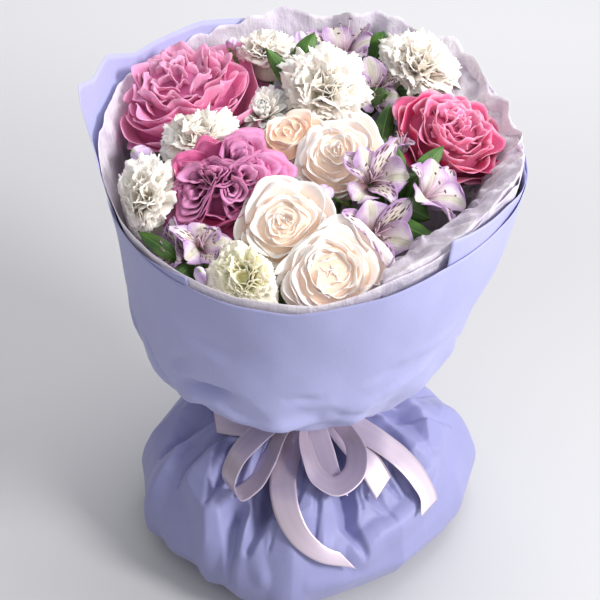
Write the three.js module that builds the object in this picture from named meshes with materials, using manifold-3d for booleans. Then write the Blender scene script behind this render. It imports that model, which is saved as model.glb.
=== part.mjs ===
// A mixed bouquet of roses, carnations and alstroemerias in a lilac paper wrap, standing on its paper bag.
// Millimetres, +Z up. The origin is the middle of the bag's flat bottom, and -Y is the front.

import * as THREE from 'three';
import { mergeVertices } from 'three/addons/utils/BufferGeometryUtils.js';
import Module from 'manifold-3d';

const wasm = await Module();
wasm.setup();

// ---------------------------------------------------------------- driving dimensions

const PAPER = 1;                  // thickness of the lilac sheets
const TISSUE = 0.9;               // thickness of the tissue
const PETAL = 1;                  // thickness of a rose or carnation petal
const TEPAL = 0.9;                // thickness of an alstroemeria tepal
const LEAF = 0.9;                 // thickness of a leaf
const CLEAR = 0.35;               // gap between pieces that touch
const RIBBON = { width: 25, thickness: 0.8 };

const CUP_X = 5;                  // the cup's axis stands a little to the right
const SKIRT_X = -4;               // and the bag's a little to the left
const WAIST = { low: 130, high: 144 };
const STEM = { rose: 2.3, carnation: 1.9, alstroemeria: 2.1 };   // stem radii
const STEM_RING = 5.1;            // spacing of the stems at the waist
const SPIRAL = THREE.MathUtils.degToRad(40);
const SPLAY = 2.6;                // by how many times its place at the waist a cut end stands further out
const STEM_FOOT = 1.3;            // height of the cut ends, just above the bag's bottom

// The cup's side from the waist to the belly, as radius and height; above it the wall is straight.
const CUP_SIDE = [[22, 128], [22, 142], [27, 151], [42, 158], [70, 165], [98, 174], [121, 188], [136, 207],
  [143, 228]];
const WALL_SLOPE = 0.14;
// Rim heights by azimuth in degrees.
const FRONT_RIM = [[-165, 350], [-150, 346], [-131, 335], [-111, 329], [-96, 327], [-75, 338], [-60, 349],
  [-30, 361], [15, 366]];
const BACK_RIM = [[-57, 370], [-36, 372], [-9, 362], [11, 364], [27, 376], [62, 402], [96, 410], [123, 419],
  [155, 413], [185, 408], [207, 340]];
const TISSUE_RIM = [[-180, 390], [-150, 349], [-111, 333], [-90, 332], [-60, 355], [-36, 378], [0, 372],
  [27, 386], [62, 412], [96, 416], [123, 404], [155, 398], [180, 390]];

// The bag's outline by azimuth, and its side as a share of that outline, with heights.
const SKIRT_OUTLINE = [[-180, 165], [-158, 157], [-138, 151], [-112, 162], [-95, 160], [-56, 146], [-22, 154],
  [0, 165], [30, 162], [60, 152], [100, 150], [140, 153], [180, 165]];
const SKIRT_SIDE = [[0.73, 0], [0.86, 4], [0.965, 20], [1, 44], [0.93, 72], [0.79, 92], [0.6, 109], [0.38, 121],
  [0.21, 128]];
const SKIRT_NECK = { radius: 24.2, low: 129.5, top: 142 };
const PLEATS = 13;
const PLEAT_DEPTH = 7;
const PLEAT_LEVELS = { from: 2, over: 6.4 };   // levels of SKIRT_SIDE that the pleats run over

// ---------------------------------------------------------------- the flowers
// at: middle of the head. tilt and azimuth: where it faces, in degrees. spin: its own turn.

const ROSES = [
  { name: 'rose_pink_large', at: [-94, 54, 394], radius: 59, tilt: 14, azimuth: -110, petals: 9, colour: 0xdb7fb4 },
  { name: 'rose_pink_quartered', at: [-56, -52, 372], radius: 47, tilt: 46, azimuth: -98, petals: 8, colour: 0xdc5f9f },
  { name: 'rose_crimson', at: [109, 4, 380], radius: 46, tilt: 28, azimuth: -50, petals: 8, colour: 0xd8417d },
  { name: 'rose_blush_left', at: [-16, -88, 355], radius: 38, tilt: 46, azimuth: -95, petals: 7, colour: 0xf2dccf },
  { name: 'rose_blush_front', at: [15, -121, 338], radius: 40, tilt: 50, azimuth: -85, petals: 7, colour: 0xf5e0d3 },
  { name: 'rose_blush_back', at: [22, -33, 380], radius: 33, tilt: 36, azimuth: -100, petals: 7, colour: 0xf0d2c3 },
  { name: 'rose_peach', at: [-13, -4, 379], radius: 29, tilt: 30, azimuth: -110, petals: 6, colour: 0xecc2ae },
];
const CARNATIONS = [
  { name: 'carnation_back', at: [-32, 100, 402], radius: 28, tilt: 8, azimuth: 100, colour: 0xf1ece4 },
  { name: 'carnation_top', at: [14, 46, 394], radius: 36, tilt: 38, azimuth: -90, colour: 0xf4f0e8 },
  { name: 'carnation_right', at: [93, 90, 393], radius: 35, tilt: 28, azimuth: -60, colour: 0xf1ece2 },
  { name: 'carnation_left', at: [-117, -50, 355], radius: 32, tilt: 48, azimuth: -140, colour: 0xf3efe6 },
  { name: 'carnation_cream', at: [-43, -118, 332], radius: 30, tilt: 50, azimuth: -105, colour: 0xf1ecd2 },
  { name: 'carnation_middle', at: [-82, -2, 378], radius: 27, tilt: 26, azimuth: -130, colour: 0xf0e9e0 },
];
const CHRYSANTHEMUM = {
  name: 'chrysanthemum', at: [-34, 36, 384], radius: 28, tilt: 28, azimuth: -100, colour: 0xf0ebe6,
};

const LILAC = 0xd9c8e6;
const SPRAYS = [
  {
    name: 'alstroemeria_back',
    fork: [46, 104, 338],
    flowers: [
      { at: [35, 132, 408], radius: 29, tilt: 12, azimuth: -100 },
      { at: [60, 62, 391], radius: 28, tilt: 52, azimuth: -70 },
    ],
    buds: [{ at: [80, 128, 399], radius: 11, tilt: 15, azimuth: 60 }],
    leaves: [{ by: [60, 108, 402], tip: [66, 112, 419], width: 15 }],
  },
  {
    name: 'alstroemeria_centre',
    fork: [66, -50, 328],
    flowers: [
      { at: [48, -64, 383], radius: 29, tilt: 40, azimuth: -80 },
      { at: [51, -99, 356], radius: 29, tilt: 50, azimuth: -70 },
      { at: [96, -60, 371], radius: 28, tilt: 40, azimuth: -20 },
      { at: [70, -14, 384], radius: 17, tilt: 12, azimuth: 120 },
    ],
    buds: [{ at: [12, -66, 368], radius: 10, tilt: 48, azimuth: -120 }],
    leaves: [
      { by: [66, -38, 360], tip: [66, -30, 385], width: 13 },
      { by: [70, -62, 352], tip: [86, -76, 352], width: 15 },
      { by: [80, -40, 364], tip: [101, -24, 383], width: 13 },
    ],
  },
  {
    name: 'alstroemeria_left',
    fork: [-82, -76, 300],
    flowers: [
      { at: [-104, -92, 338], radius: 26, tilt: 56, azimuth: -160 },
      { at: [-72, -98, 351], radius: 23, tilt: 38, azimuth: -60 },
    ],
    buds: [{ at: [-75, -119, 334], radius: 10, tilt: 40, azimuth: -110 }],
    leaves: [],
  },
  {
    name: 'alstroemeria_bud_pair',
    fork: [-104, -12, 332],
    flowers: [],
    buds: [{ at: [-124, -6, 368], radius: 11, tilt: 50, azimuth: -140 }],
    leaves: [],
  },
  {
    name: 'alstroemeria_back_left',
    fork: [-8, 76, 343],
    flowers: [],
    buds: [
      { at: [-4, 128, 402], radius: 11, tilt: 20, azimuth: 90 },
      { at: [-60, 104, 412], radius: 9, tilt: 20, azimuth: 20 },
    ],
    leaves: [
      { by: [-4, 78, 400], tip: [8, 92, 427], width: 18 },
      { by: [-19, 68, 386], tip: [-31, 90, 425], width: 11 },
    ],
  },
];

// ---------------------------------------------------------------- small helpers

const { sin, cos, sqrt, max, min, abs, exp, PI, round, hypot, atan2 } = Math;
const GOLDEN = PI * (3 - sqrt(5));
const deg = THREE.MathUtils.degToRad;
const lerp = THREE.MathUtils.lerp;
const vec = (x, y, z) => new THREE.Vector3(x, y, z);
const range = (n) => Array.from({ length: n }, (_, i) => i);

// Value at a place between the neighbours of a list of [place, value] pairs, held at its ends.
function along(pairs, place) {
  let i = 0;
  while (i < pairs.length - 2 && place > pairs[i + 1][0]) i += 1;
  const [a, p] = pairs[i];
  const [b, q] = pairs[i + 1];
  const t = THREE.MathUtils.clamp((place - a) / (b - a), 0, 1);
  return lerp(p, q, t);
}

// A point round an upright axis that stands at x.
const polar = (x, azimuth, radius, z) => vec(x + radius * cos(azimuth), radius * sin(azimuth), z);

// ---------------------------------------------------------------- closed solids

// A BufferGeometry from corners and triangles, turned so that its faces point out.
function solid(points, triangles) {
  let volume = 0;
  for (const [a, b, c] of triangles) volume += points[a].dot(vec(0, 0, 0).crossVectors(points[b], points[c]));
  const index = triangles.flatMap(([a, b, c]) => (volume > 0 ? [a, b, c] : [a, c, b]));
  const geometry = new THREE.BufferGeometry().setFromPoints(points);
  geometry.setIndex(index);
  return geometry;
}

// Rings of equally many points joined in turn. Each end is a single point, or a ring closed by a fan.
function loft(rings) {
  const points = rings.flat();
  const starts = rings.map((ring, k) => rings.slice(0, k).reduce((sum, r) => sum + r.length, 0));
  const triangles = [];
  for (let k = 0; k + 1 < rings.length; k += 1) {
    const n = max(rings[k].length, rings[k + 1].length);
    const at = (ring, i) => starts[ring] + (rings[ring].length === 1 ? 0 : i % n);
    for (const i of range(n)) {
      if (rings[k + 1].length > 1) triangles.push([at(k, i), at(k + 1, i + 1), at(k + 1, i)]);
      if (rings[k].length > 1) triangles.push([at(k, i), at(k, i + 1), at(k + 1, i + 1)]);
    }
  }
  const close = (ring, start, flip) => {
    for (let i = 1; i + 1 < ring.length; i += 1) {
      triangles.push(flip ? [start, start + i, start + i + 1] : [start, start + i + 1, start + i]);
    }
  };
  close(rings[0], 0, false);
  close(rings.at(-1), starts.at(-1), true);
  return solid(points, triangles);
}

// A thin plate of even thickness about a surface of u, from -1 to 1, and v, from 0 to 1.
function blade(surface, cols, rows, thickness) {
  const grid = range(cols + 1).map((i) => range(rows + 1).map((j) => surface((2 * i) / cols - 1, j / rows)));
  const normal = (i, j) => {
    const across = grid[min(i + 1, cols)][j].clone().sub(grid[max(i - 1, 0)][j]);
    const up = grid[i][min(j + 1, rows)].clone().sub(grid[i][max(j - 1, 0)]);
    return across.cross(up).normalize().multiplyScalar(thickness / 2);
  };
  const points = [1, -1].flatMap((side) =>
    grid.flatMap((line, i) => line.map((p, j) => p.clone().addScaledVector(normal(i, j), side))));
  const face = (cols + 1) * (rows + 1);
  const at = (i, j, side) => side * face + i * (rows + 1) + j;
  const triangles = [];
  for (const i of range(cols)) {
    for (const j of range(rows)) {
      for (const side of [0, 1]) {
        const [a, b, c, d] = [at(i, j, side), at(i + 1, j, side), at(i + 1, j + 1, side), at(i, j + 1, side)];
        triangles.push(...(side ? [[a, c, b], [a, d, c]] : [[a, b, c], [a, c, d]]));
      }
    }
  }
  const edge = (a, b, c, d) => triangles.push([a, c, b], [b, c, d]);
  for (const i of range(cols)) {
    edge(at(i, 0, 0), at(i + 1, 0, 0), at(i, 0, 1), at(i + 1, 0, 1));
    edge(at(i + 1, rows, 0), at(i, rows, 0), at(i + 1, rows, 1), at(i, rows, 1));
  }
  for (const j of range(rows)) {
    edge(at(0, j + 1, 0), at(0, j, 0), at(0, j + 1, 1), at(0, j, 1));
    edge(at(cols, j, 0), at(cols, j + 1, 0), at(cols, j, 1), at(cols, j + 1, 1));
  }
  return solid(points, triangles);
}

// A turned solid in a head's own frame, from [radius, height] pairs that start and end on the axis.
function turned(head, profile, sides, start = 0) {
  return loft(profile.map(([r, z]) => (r === 0 ? [head.place(0, 0, z)] : range(sides).map((i) => {
    const angle = start + (2 * PI * i) / sides;
    return head.place(r * cos(angle), r * sin(angle), z);
  }))));
}

// A round rod through points, each with its radius and the direction that its ring faces.
function rod(stations, sides) {
  return loft(stations.map(({ at, facing, radius }) => {
    const side = vec(0, 1, 0).cross(facing).normalize();
    const other = facing.clone().cross(side).normalize();
    return range(sides).map((i) => at.clone()
      .addScaledVector(side, radius * cos((2 * PI * i) / sides))
      .addScaledVector(other, radius * sin((2 * PI * i) / sides)));
  }));
}

// Closed geometries joined into one body; loose scraps and sealed hollows are dropped.
function fuse(geometries) {
  const parts = geometries.map((geometry) => {
    const merged = mergeVertices(geometry, 1e-4);
    return new wasm.Manifold(new wasm.Mesh({
      numProp: 3,
      vertProperties: new Float32Array(merged.attributes.position.array),
      triVerts: new Uint32Array(merged.index.array),
    }));
  });
  const joined = parts.reduce((sum, part) => sum.add(part)).simplify(0.08);
  const body = joined.decompose().reduce((best, part) => (part.volume() > best.volume() ? part : best));
  const mesh = body.getMesh();
  const geometry = new THREE.BufferGeometry();
  geometry.setAttribute('position', new THREE.BufferAttribute(new Float32Array(mesh.vertProperties), 3));
  geometry.setIndex(new THREE.BufferAttribute(new Uint32Array(mesh.triVerts), 1));
  return geometry;
}

const bouquet = new THREE.Group();
bouquet.name = 'mixed_flower_bouquet';

function add(name, geometry, colour, roughness = 0.7) {
  const material = new THREE.MeshStandardMaterial({ color: colour, roughness, metalness: 0 });
  const mesh = new THREE.Mesh(geometry, material);
  mesh.name = name;
  bouquet.add(mesh);
}

// ---------------------------------------------------------------- the paper cup

// The cup's side as a curve: share 0 is the waist, 1 the belly, and beyond 1 the straight wall up to the rim.
const CUP_SHARES = [0, 0.125, 0.25, 0.45, 0.7, 1, 2];   // the rows of points up a sheet
const cupCurve = new THREE.SplineCurve(CUP_SIDE.map(([r, z]) => new THREE.Vector2(r, z)));
const BELLY = CUP_SIDE.at(-1);

function cupPoint(azimuth, share, rim, inset) {
  let [r, z] = BELLY;
  let slope = new THREE.Vector2(WALL_SLOPE, 1);
  if (share < 1) {
    [r, z] = cupCurve.getPoint(share).toArray();
    slope = cupCurve.getTangent(share);
  } else {
    z += (rim - z) * (share - 1);
    r += WALL_SLOPE * (z - BELLY[1]);
  }
  slope.normalize();
  const axis = CUP_X * THREE.MathUtils.smoothstep(z, WAIST.high, BELLY[1]);
  return polar(axis, azimuth, r - inset * slope.y, z + inset * slope.x);
}

// One sheet of paper between two azimuths, inset from the outer surface.
function cupSheet({ from, to, rim, inset, cols }) {
  const surface = (u, v) => {
    const azimuth = lerp(from, to, (u + 1) / 2);
    const share = CUP_SHARES[round(v * (CUP_SHARES.length - 1))];
    return cupPoint(deg(azimuth), share, along(rim, azimuth), inset);
  };
  return blade(surface, cols, CUP_SHARES.length - 1, PAPER);
}

// The tissue goes all round, so its two edges meet as one closed ring. It waves above the belly.
const TISSUE_COLS = 22;
const TISSUE_WAVE = 0.8;

function tissueRing() {
  const ring = (share, depth) => range(TISSUE_COLS).map((i) => {
    const azimuth = -180 + (360 * i) / TISSUE_COLS;
    const wave = TISSUE_WAVE * max(share - 1, 0) * (i % 2 ? -1 : 1);
    return cupPoint(deg(azimuth), share, along(TISSUE_RIM, azimuth), TISSUE_INSET + wave + depth);
  });
  const outer = CUP_SHARES.map((share) => ring(share, -TISSUE / 2));
  const inner = CUP_SHARES.map((share) => ring(share, TISSUE / 2)).reverse();
  return closedBand([...outer, ...inner]);
}

// Rings joined in turn, and the last to the first.
function closedBand(rings) {
  const n = rings[0].length;
  const triangles = [];
  rings.forEach((_, k) => {
    const next = ((k + 1) % rings.length) * n;
    for (const i of range(n)) {
      const j = (i + 1) % n;
      triangles.push([k * n + i, next + j, next + i], [k * n + i, k * n + j, next + j]);
    }
  });
  return solid(rings.flat(), triangles);
}

const LAYER = PAPER + CLEAR + 0.15;           // from one sheet's middle to the next one's
const TISSUE_INSET = 2 * LAYER + 1.6;
add('paper_cup_front', cupSheet({
  from: -165, to: 15, rim: FRONT_RIM, inset: 0, cols: 15,
}), 0xb1b0dd, 0.6);
add('paper_cup_back', cupSheet({
  from: -57, to: 207, rim: BACK_RIM, inset: LAYER, cols: 22,
}), 0xa9a8d9, 0.6);
add('tissue_lining', tissueRing(), 0xeae6ec, 0.8);

// ---------------------------------------------------------------- the paper bag

// Outer surface of the bag. level counts along SKIRT_SIDE; pleats run from the waist and fade at the belly.
function skirtPoint(azimuth, level, inset = 0) {
  const k = min(level, SKIRT_SIDE.length - 1);
  const places = SKIRT_SIDE.map(([share], i) => [i, share]);
  const heights = SKIRT_SIDE.map(([, z], i) => [i, z]);
  const outline = along(SKIRT_OUTLINE, THREE.MathUtils.radToDeg(atan2(sin(azimuth), cos(azimuth))));
  const fade = sin(PI * THREE.MathUtils.clamp((k - PLEAT_LEVELS.from) / PLEAT_LEVELS.over, 0, 1));
  const pleat = PLEAT_DEPTH * fade * abs(((PLEATS * azimuth) / PI) % 2 + (azimuth < 0 ? 1 : -1));
  const radius = outline * along(places, k) - pleat;
  const z = along(heights, k);
  const x = SKIRT_X * (1 - k / SKIRT_SIDE.length);
  if (k === 0) return polar(x, azimuth, radius - inset, z + inset);
  const rise = THREE.MathUtils.smoothstep(k, 2, 5);
  return polar(x, azimuth, radius - inset * (1 - 0.6 * rise), z - inset * rise);
}

function skirtRings(inset, sides) {
  const rings = range(SKIRT_SIDE.length).map((k) =>
    range(sides).map((i) => skirtPoint((2 * PI * i) / sides, k, inset)));
  const neck = [SKIRT_NECK.low, SKIRT_NECK.top].map((z) =>
    range(sides).map((i) => polar(0, (2 * PI * i) / sides, SKIRT_NECK.radius - inset, z)));
  return [...rings, ...neck];
}

const SKIRT_SIDES = 2 * PLEATS;
add('paper_skirt', loft([
  [vec(0, 0, 0)],
  ...skirtRings(0, SKIRT_SIDES),
  ...skirtRings(PAPER, SKIRT_SIDES).reverse(),
  [vec(0, 0, PAPER)],
]), 0xabaadb, 0.6);

// ---------------------------------------------------------------- heads keep to their own room

// Every head, bud and leaf has a middle and a radius. Between two neighbours stands a plane, and what
// would reach past it is pressed back towards its own middle, as crowded blooms press each other flat.
const heads = [];

function makeHead({ name, at, radius, tilt, azimuth, spin = 0 }) {
  const axis = polar(0, deg(azimuth), sin(deg(tilt)), cos(deg(tilt)));
  const side = vec(0, 1, 0).cross(axis).normalize();
  const other = axis.clone().cross(side);
  const middle = vec(...at);
  const head = { name, radius, axis, middle, spin };
  head.raw = (x, y, z) => middle.clone()
    .addScaledVector(side, x).addScaledVector(other, y).addScaledVector(axis, z);
  head.place = (x, y, z) => settle(head.raw(x, y, z), head);
  heads.push(head);
  return head;
}

const press = (reach, limit, firm) => (reach < firm * limit
  ? reach
  : limit - (1 - firm) * limit * exp(-(reach - firm * limit) / ((1 - firm) * limit)));

const ROOM = 1.1;                 // half the gap between the middles of two neighbours' outermost petals
const WALL_ROOM = 6.5;            // from the cup's outer surface to the nearest petal
const NEAR = 1.25;                // heads further apart than this share of their radii don't meet

function neighbours(head) {
  const meets = (other) => other !== head && !(head.spray && head.spray === other.spray)
    && other.middle.distanceTo(head.middle) < NEAR * (other.radius + head.radius);
  head.planes ??= heads.filter(meets).map((other) => {
    const across = other.middle.clone().sub(head.middle);
    const d = across.length();
    const limit = (d * d + head.radius ** 2 - other.radius ** 2) / (2 * d) - ROOM;
    return { across: across.normalize(), limit: max(limit, 0.15 * head.radius) };
  });
  return head.planes;
}

// Shares of the room up to which a petal stays as it grew, in a first and a second pass, and at the wall.
const PRESS_FIRM = [0.86, 0.93];
const WALL_FIRM = 0.95;

function settle(point, head) {
  for (const pass of range(PRESS_FIRM.length)) {
    for (const { across, limit } of neighbours(head)) {
      const reach = point.clone().sub(head.middle).dot(across);
      point.addScaledVector(across, press(reach, limit, PRESS_FIRM[pass]) - reach);
    }
    const fromAxis = hypot(point.x - CUP_X, point.y);
    const wall = BELLY[0] + WALL_SLOPE * (point.z - BELLY[1]) - WALL_ROOM;
    const held = press(fromAxis, wall, WALL_FIRM) / fromAxis;
    point.set(CUP_X + (point.x - CUP_X) * held, point.y * held, point.z);
  }
  return point;
}

// ---------------------------------------------------------------- heads of petals

// Rose: cups about the heart, each turned by the golden angle, wider, lower and lower-set outwards.
const ROSE_NECK = { radius: 0.13, height: -0.7, rise: 0.42 };

function rosePetal(head, k, count) {
  const R = head.radius;
  const t = (k + 0.5) / count;
  const root = ROSE_NECK.height + ROSE_NECK.rise * (1 - t);
  const reach = 0.24 + 0.76 * t ** 0.85;
  const top = 0.44 - 0.42 * t * t;
  const half = lerp(1.15, 0.82, t);
  return blade((u, v) => {
    const s = v * (1 - 0.15 * u * u);
    const arc = (s * PI) / 2;
    const r = R * (ROSE_NECK.radius + (reach * (1 + 0.05 * u) - ROSE_NECK.radius) * sin(arc));
    const z = R * (root + (top - root) * (1 - cos(arc)) - 0.1 * t * s ** 6);
    const angle = head.spin + k * GOLDEN + u * half * (0.35 + 0.65 * sqrt(s));
    return head.place(r * cos(angle), r * sin(angle), z);
  }, 3, t < 0.45 ? 2 : 3, PETAL);
}

function rosePetals(head, count) {
  const R = head.radius;
  const heart = turned(head, [[0, -0.7], [0.18, -0.69], [0.2, -0.3], [0.16, 0], [0.13, 0.36], [0, 0.41]]
    .map(([r, z]) => [r * R, z * R]), 6);
  return fuse([heart, ...range(count).map((k) => rosePetal(head, k, count))]);
}

// Carnation: frills one above the other, each a ring of toothed rims that rises from the fold below it.
// The profile runs from the calyx up the underside, then in and out over the frills to the middle.
const CARNATION_NECK = -0.6;
const FRILLS = [
  { r: 0.13, z: CARNATION_NECK, frill: 0 }, { r: 0.95, z: -0.02, frill: 1 },
  { r: 0.62, z: 0, frill: 0.3 }, { r: 0.74, z: 0.3, frill: 0.9 }, { r: 0.42, z: 0.18, frill: 0.3 },
  { r: 0.48, z: 0.46, frill: 0.8 }, { r: 0.2, z: 0.3, frill: 0.2 }, { r: 0.22, z: 0.55, frill: 0.5 },
];
const TEETH = 20;

function carnationPetals(head) {
  const R = head.radius;
  const ring = ({ r, z, frill }, k) => range(TEETH).map((i) => {
    const angle = (2 * PI * i) / TEETH;
    const tooth = frill * (i % 2 ? 0.07 : -0.05);
    const lobe = frill * 0.09 * cos(5 * angle + 2 * k);
    const wave = frill * 0.11 * sin(5 * angle + 3 * k + head.spin);
    const out = R * (r + tooth + lobe);
    return head.place(out * cos(angle), out * sin(angle), R * (z + wave + 0.5 * tooth));
  });
  return loft([[head.place(0, 0, CARNATION_NECK * R)], ...FRILLS.map(ring), [head.place(0, 0, 0.4 * R)]]);
}

// Chrysanthemum: short rounded strap petals over a small dome.
function strapPetal(head, k, count) {
  const R = head.radius;
  const t = (k + 0.5) / count;
  const lean = lerp(0.3, 1.55, sqrt(t));
  const turn = head.spin + k * GOLDEN;
  return blade((u, v) => {
    const out = R * (0.08 + 0.9 * sin(lean) * v);
    const z = R * (-0.35 + 0.75 * cos(lean) * v + 0.22 * sin(PI * v));
    const broad = R * u * (0.12 + 0.1 * sin(PI * v));
    return head.place(out * cos(turn) - broad * sin(turn), out * sin(turn) + broad * cos(turn), z);
  }, 1, 2, PETAL);
}

const CHRYSANTHEMUM_NECK = -0.42;
const STRAPS = 10;

function chrysanthemumPetals(head) {
  const R = head.radius;
  const heart = turned(head, [[0, CHRYSANTHEMUM_NECK], [0.3, -0.4], [0.34, -0.1], [0, 0.15]]
    .map(([r, z]) => [r * R, z * R]), 7);
  return fuse([heart, ...range(STRAPS).map((k) => strapPetal(head, k, STRAPS))]);
}

// Alstroemeria: a funnel of three broad tepals, and three narrow ones that stand just inside them.
const FUNNEL = -0.82;
const FOOT = -0.92;

function tepal(head, k) {
  const R = head.radius;
  const inside = k % 2 === 1;
  const half = inside ? 0.42 : 0.6;
  const turn = head.spin + (k * PI) / 3;
  return blade((u, v) => {
    const s = v * (1 - 0.12 * u * u);
    const out = R * (0.05 + 0.95 * s ** 1.3);
    const z = R * (FUNNEL * (1 - s) ** 1.5 - 0.1 * s ** 4) + (inside ? 2.2 * min(3 * s, 1) : 0);
    const angle = turn + u * half * (0.75 + 0.25 * cos(PI * (v - 0.4)) - 0.75 * v ** 5);
    return head.place(out * cos(angle), out * sin(angle), z);
  }, 2, inside ? 2 : 3, TEPAL);
}

function alstroemeriaFlower(head) {
  const R = head.radius;
  const throat = turned(head, [[0, FOOT], [0.15, FOOT], [0.15, FOOT + 0.34], [0, FOOT + 0.34]]
    .map(([r, z]) => [r * R, z * R]), 6, head.spin + PI / 6);
  return fuse([throat, ...range(6).map((k) => tepal(head, k))]);
}

function bud(head) {
  const R = head.radius;
  return turned(head, [[0, -1], [0.4, -0.85], [0.8, -0.2], [0.75, 0.35], [0.35, 0.95], [0, 1.05]]
    .map(([r, z]) => [r * R, z * R]), 7);
}

// ---------------------------------------------------------------- stems

const stems = [];

// A stem's own levels, from the cut end to the last one below its top.
const LEVELS = [STEM_FOOT, WAIST.low, WAIST.high, 184, 230, 276];
const CLEAR_OF_TOP = 18;

// Slots at the waist: one in the middle, six round it and twelve round those.
function assignSlots() {
  const byReach = [...stems].sort((a, b) => hypot(a.top.x, a.top.y) - hypot(b.top.x, b.top.y));
  [[0, 1, 0], [1, 7, 1], [7, 19, 2]].forEach(([first, last, ring]) => {
    const group = byReach.slice(first, last);
    group.forEach((stem) => { stem.azimuth = atan2(stem.top.y, stem.top.x); });
    group.sort((a, b) => a.azimuth - b.azimuth);
    const step = (2 * PI) / group.length;
    const shift = group.reduce((sum, stem, i) => sum + stem.azimuth - i * step, 0) / group.length;
    group.forEach((stem, i) => {
      const azimuth = i * step + shift - SPIRAL;
      stem.slot = { radius: ring * STEM_RING, azimuth };
    });
  });
}

// Middle of a stem at a level: straight through the waist, splayed and turned below, straight to its top above.
function stemMiddle(stem, z) {
  const { radius, azimuth } = stem.slot;
  if (z <= WAIST.low) {
    const down = (WAIST.low - z) / WAIST.low;
    return polar(0, azimuth - 1.6 * SPIRAL * down, radius * (1 + SPLAY * down), z);
  }
  const up = max(z - WAIST.high, 0) / (stem.top.z - WAIST.high);
  const start = polar(0, azimuth, radius, z);
  return start.lerp(vec(stem.top.x, stem.top.y, z), up);
}

// Stems that come too near each other at a level are moved apart, a little at a time.
const PUSHES = 40;
const STEM_GAP = 1;

function routeStems() {
  assignSlots();
  stems.forEach((stem) => {
    const levels = LEVELS.filter((z) => z < stem.top.z - CLEAR_OF_TOP);
    stem.route = levels.map((z) => stemMiddle(stem, z));
  });
  LEVELS.forEach((z, level) => {
    if (z <= WAIST.high) return;
    for (const turn of range(PUSHES)) {
      stems.forEach((a, i) => stems.slice(i + 1).forEach((b) => {
        const [p, q] = [a.route[level], b.route[level]];
        if (!p || !q) return;
        const gap = hypot(p.x - q.x, p.y - q.y);
        const lack = (a.radius + b.radius) * 1.2 + STEM_GAP - gap;
        if (lack > 0) {
          const push = q.clone().sub(p).normalize().multiplyScalar(lack / 2 + 0.001 * turn);
          p.sub(push);
          q.add(push);
        }
      }));
    }
  });
}

function stemRod(stem) {
  const stations = stem.route.map((at) => ({ at, facing: vec(0, 0, 1), radius: stem.radius }));
  stations.push({ at: stem.top, facing: stem.facing, radius: stem.radius });
  return rod(stations, 5);
}

// The calyx under a rose: a small round hip that opens into a star of five sepals.
function roseCalyx(head) {
  const R = head.radius;
  const z0 = ROSE_NECK.height * R - CLEAR - PETAL / 2;
  const ring = (r, point, z) => range(10).map((i) => {
    const out = i % 2 ? r : point;
    return head.place(out * cos((PI * i) / 5), out * sin((PI * i) / 5), z);
  });
  return loft([
    [head.place(0, 0, z0 - 11)],
    ring(3, 3, z0 - 11),
    ring(0.14 * R, 0.15 * R, z0 - 4),
    ring(0.16 * R, 0.42 * R, z0 - 2.6),
    [head.place(0, 0, z0)],
  ]);
}

// The calyx of a carnation is a tube, a little wider at its mouth.
function tubeCalyx(head, neck, length) {
  const R = head.radius;
  const z0 = neck * R - CLEAR - PETAL / 2;
  const foot = z0 - length;
  return turned(head, [[0, z0], [0.17 * R, z0], [0.2 * R, z0 - 3], [0.15 * R, foot], [0, foot]], 6);
}

function leaf({ from, by, tip, width }, head) {
  const midrib = new THREE.CatmullRomCurve3([from, by, tip]);
  return blade((u, v) => {
    const at = midrib.getPoint(v);
    const tangent = midrib.getTangent(v);
    const across = tangent.clone().cross(vec(0, -0.8, 0.6)).normalize();
    const fold = tangent.clone().cross(across).normalize();
    const half = (width / 2) * (0.14 + 0.95 * max(sin(PI * v ** 1.7), 0));
    const wave = 0.12 * width * u * u;
    at.addScaledVector(across, u * half * (v > 0.99 ? 0.2 : 1)).addScaledVector(fold, wave);
    return settle(at, head);
  }, 2, 4, LEAF);
}

// ---------------------------------------------------------------- planting

const plants = [];

for (const rose of ROSES) {
  const head = makeHead(rose);
  const foot = head.raw(0, 0, ROSE_NECK.height * rose.radius - 10);
  stems.push({ name: rose.name, top: foot, facing: head.axis, radius: STEM.rose });
  plants.push({ ...rose, head, petals: () => rosePetals(head, rose.petals), calyx: () => roseCalyx(head) });
}
const CALYX_TUBE = 20;
for (const carnation of CARNATIONS) {
  const head = makeHead(carnation);
  const foot = head.raw(0, 0, CARNATION_NECK * carnation.radius - CALYX_TUBE + 2);
  stems.push({ name: carnation.name, top: foot, facing: head.axis, radius: STEM.carnation });
  plants.push({
    ...carnation,
    head,
    petals: () => carnationPetals(head),
    calyx: () => tubeCalyx(head, CARNATION_NECK, CALYX_TUBE),
  });
}
{
  const head = makeHead(CHRYSANTHEMUM);
  const foot = head.raw(0, 0, CHRYSANTHEMUM_NECK * CHRYSANTHEMUM.radius - 6);
  stems.push({ name: CHRYSANTHEMUM.name, top: foot, facing: head.axis, radius: STEM.carnation });
  plants.push({
    ...CHRYSANTHEMUM,
    head,
    petals: () => chrysanthemumPetals(head),
    calyx: () => tubeCalyx(head, CHRYSANTHEMUM_NECK, 8),
  });
}
for (const spray of SPRAYS) {
  const fork = vec(...spray.fork);
  stems.push({ name: spray.name, top: fork, facing: vec(0, 0, 1), radius: STEM.alstroemeria });
  spray.heads = spray.flowers.map((flower, i) => makeHead({ ...flower, name: `${spray.name}_flower_${i + 1}` }));
  spray.budHeads = spray.buds.map((b, i) => makeHead({ ...b, name: `${spray.name}_bud_${i + 1}` }));
  spray.leafHeads = spray.leaves.map((l, i) => {
    const head = makeHead({ at: l.by, radius: 5, tilt: 0, azimuth: 0, name: `${spray.name}_leaf_${i + 1}` });
    head.spray = spray.name;
    return head;
  });
}
routeStems();
const stemOf = (name) => stems.find((stem) => stem.name === name);

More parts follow.
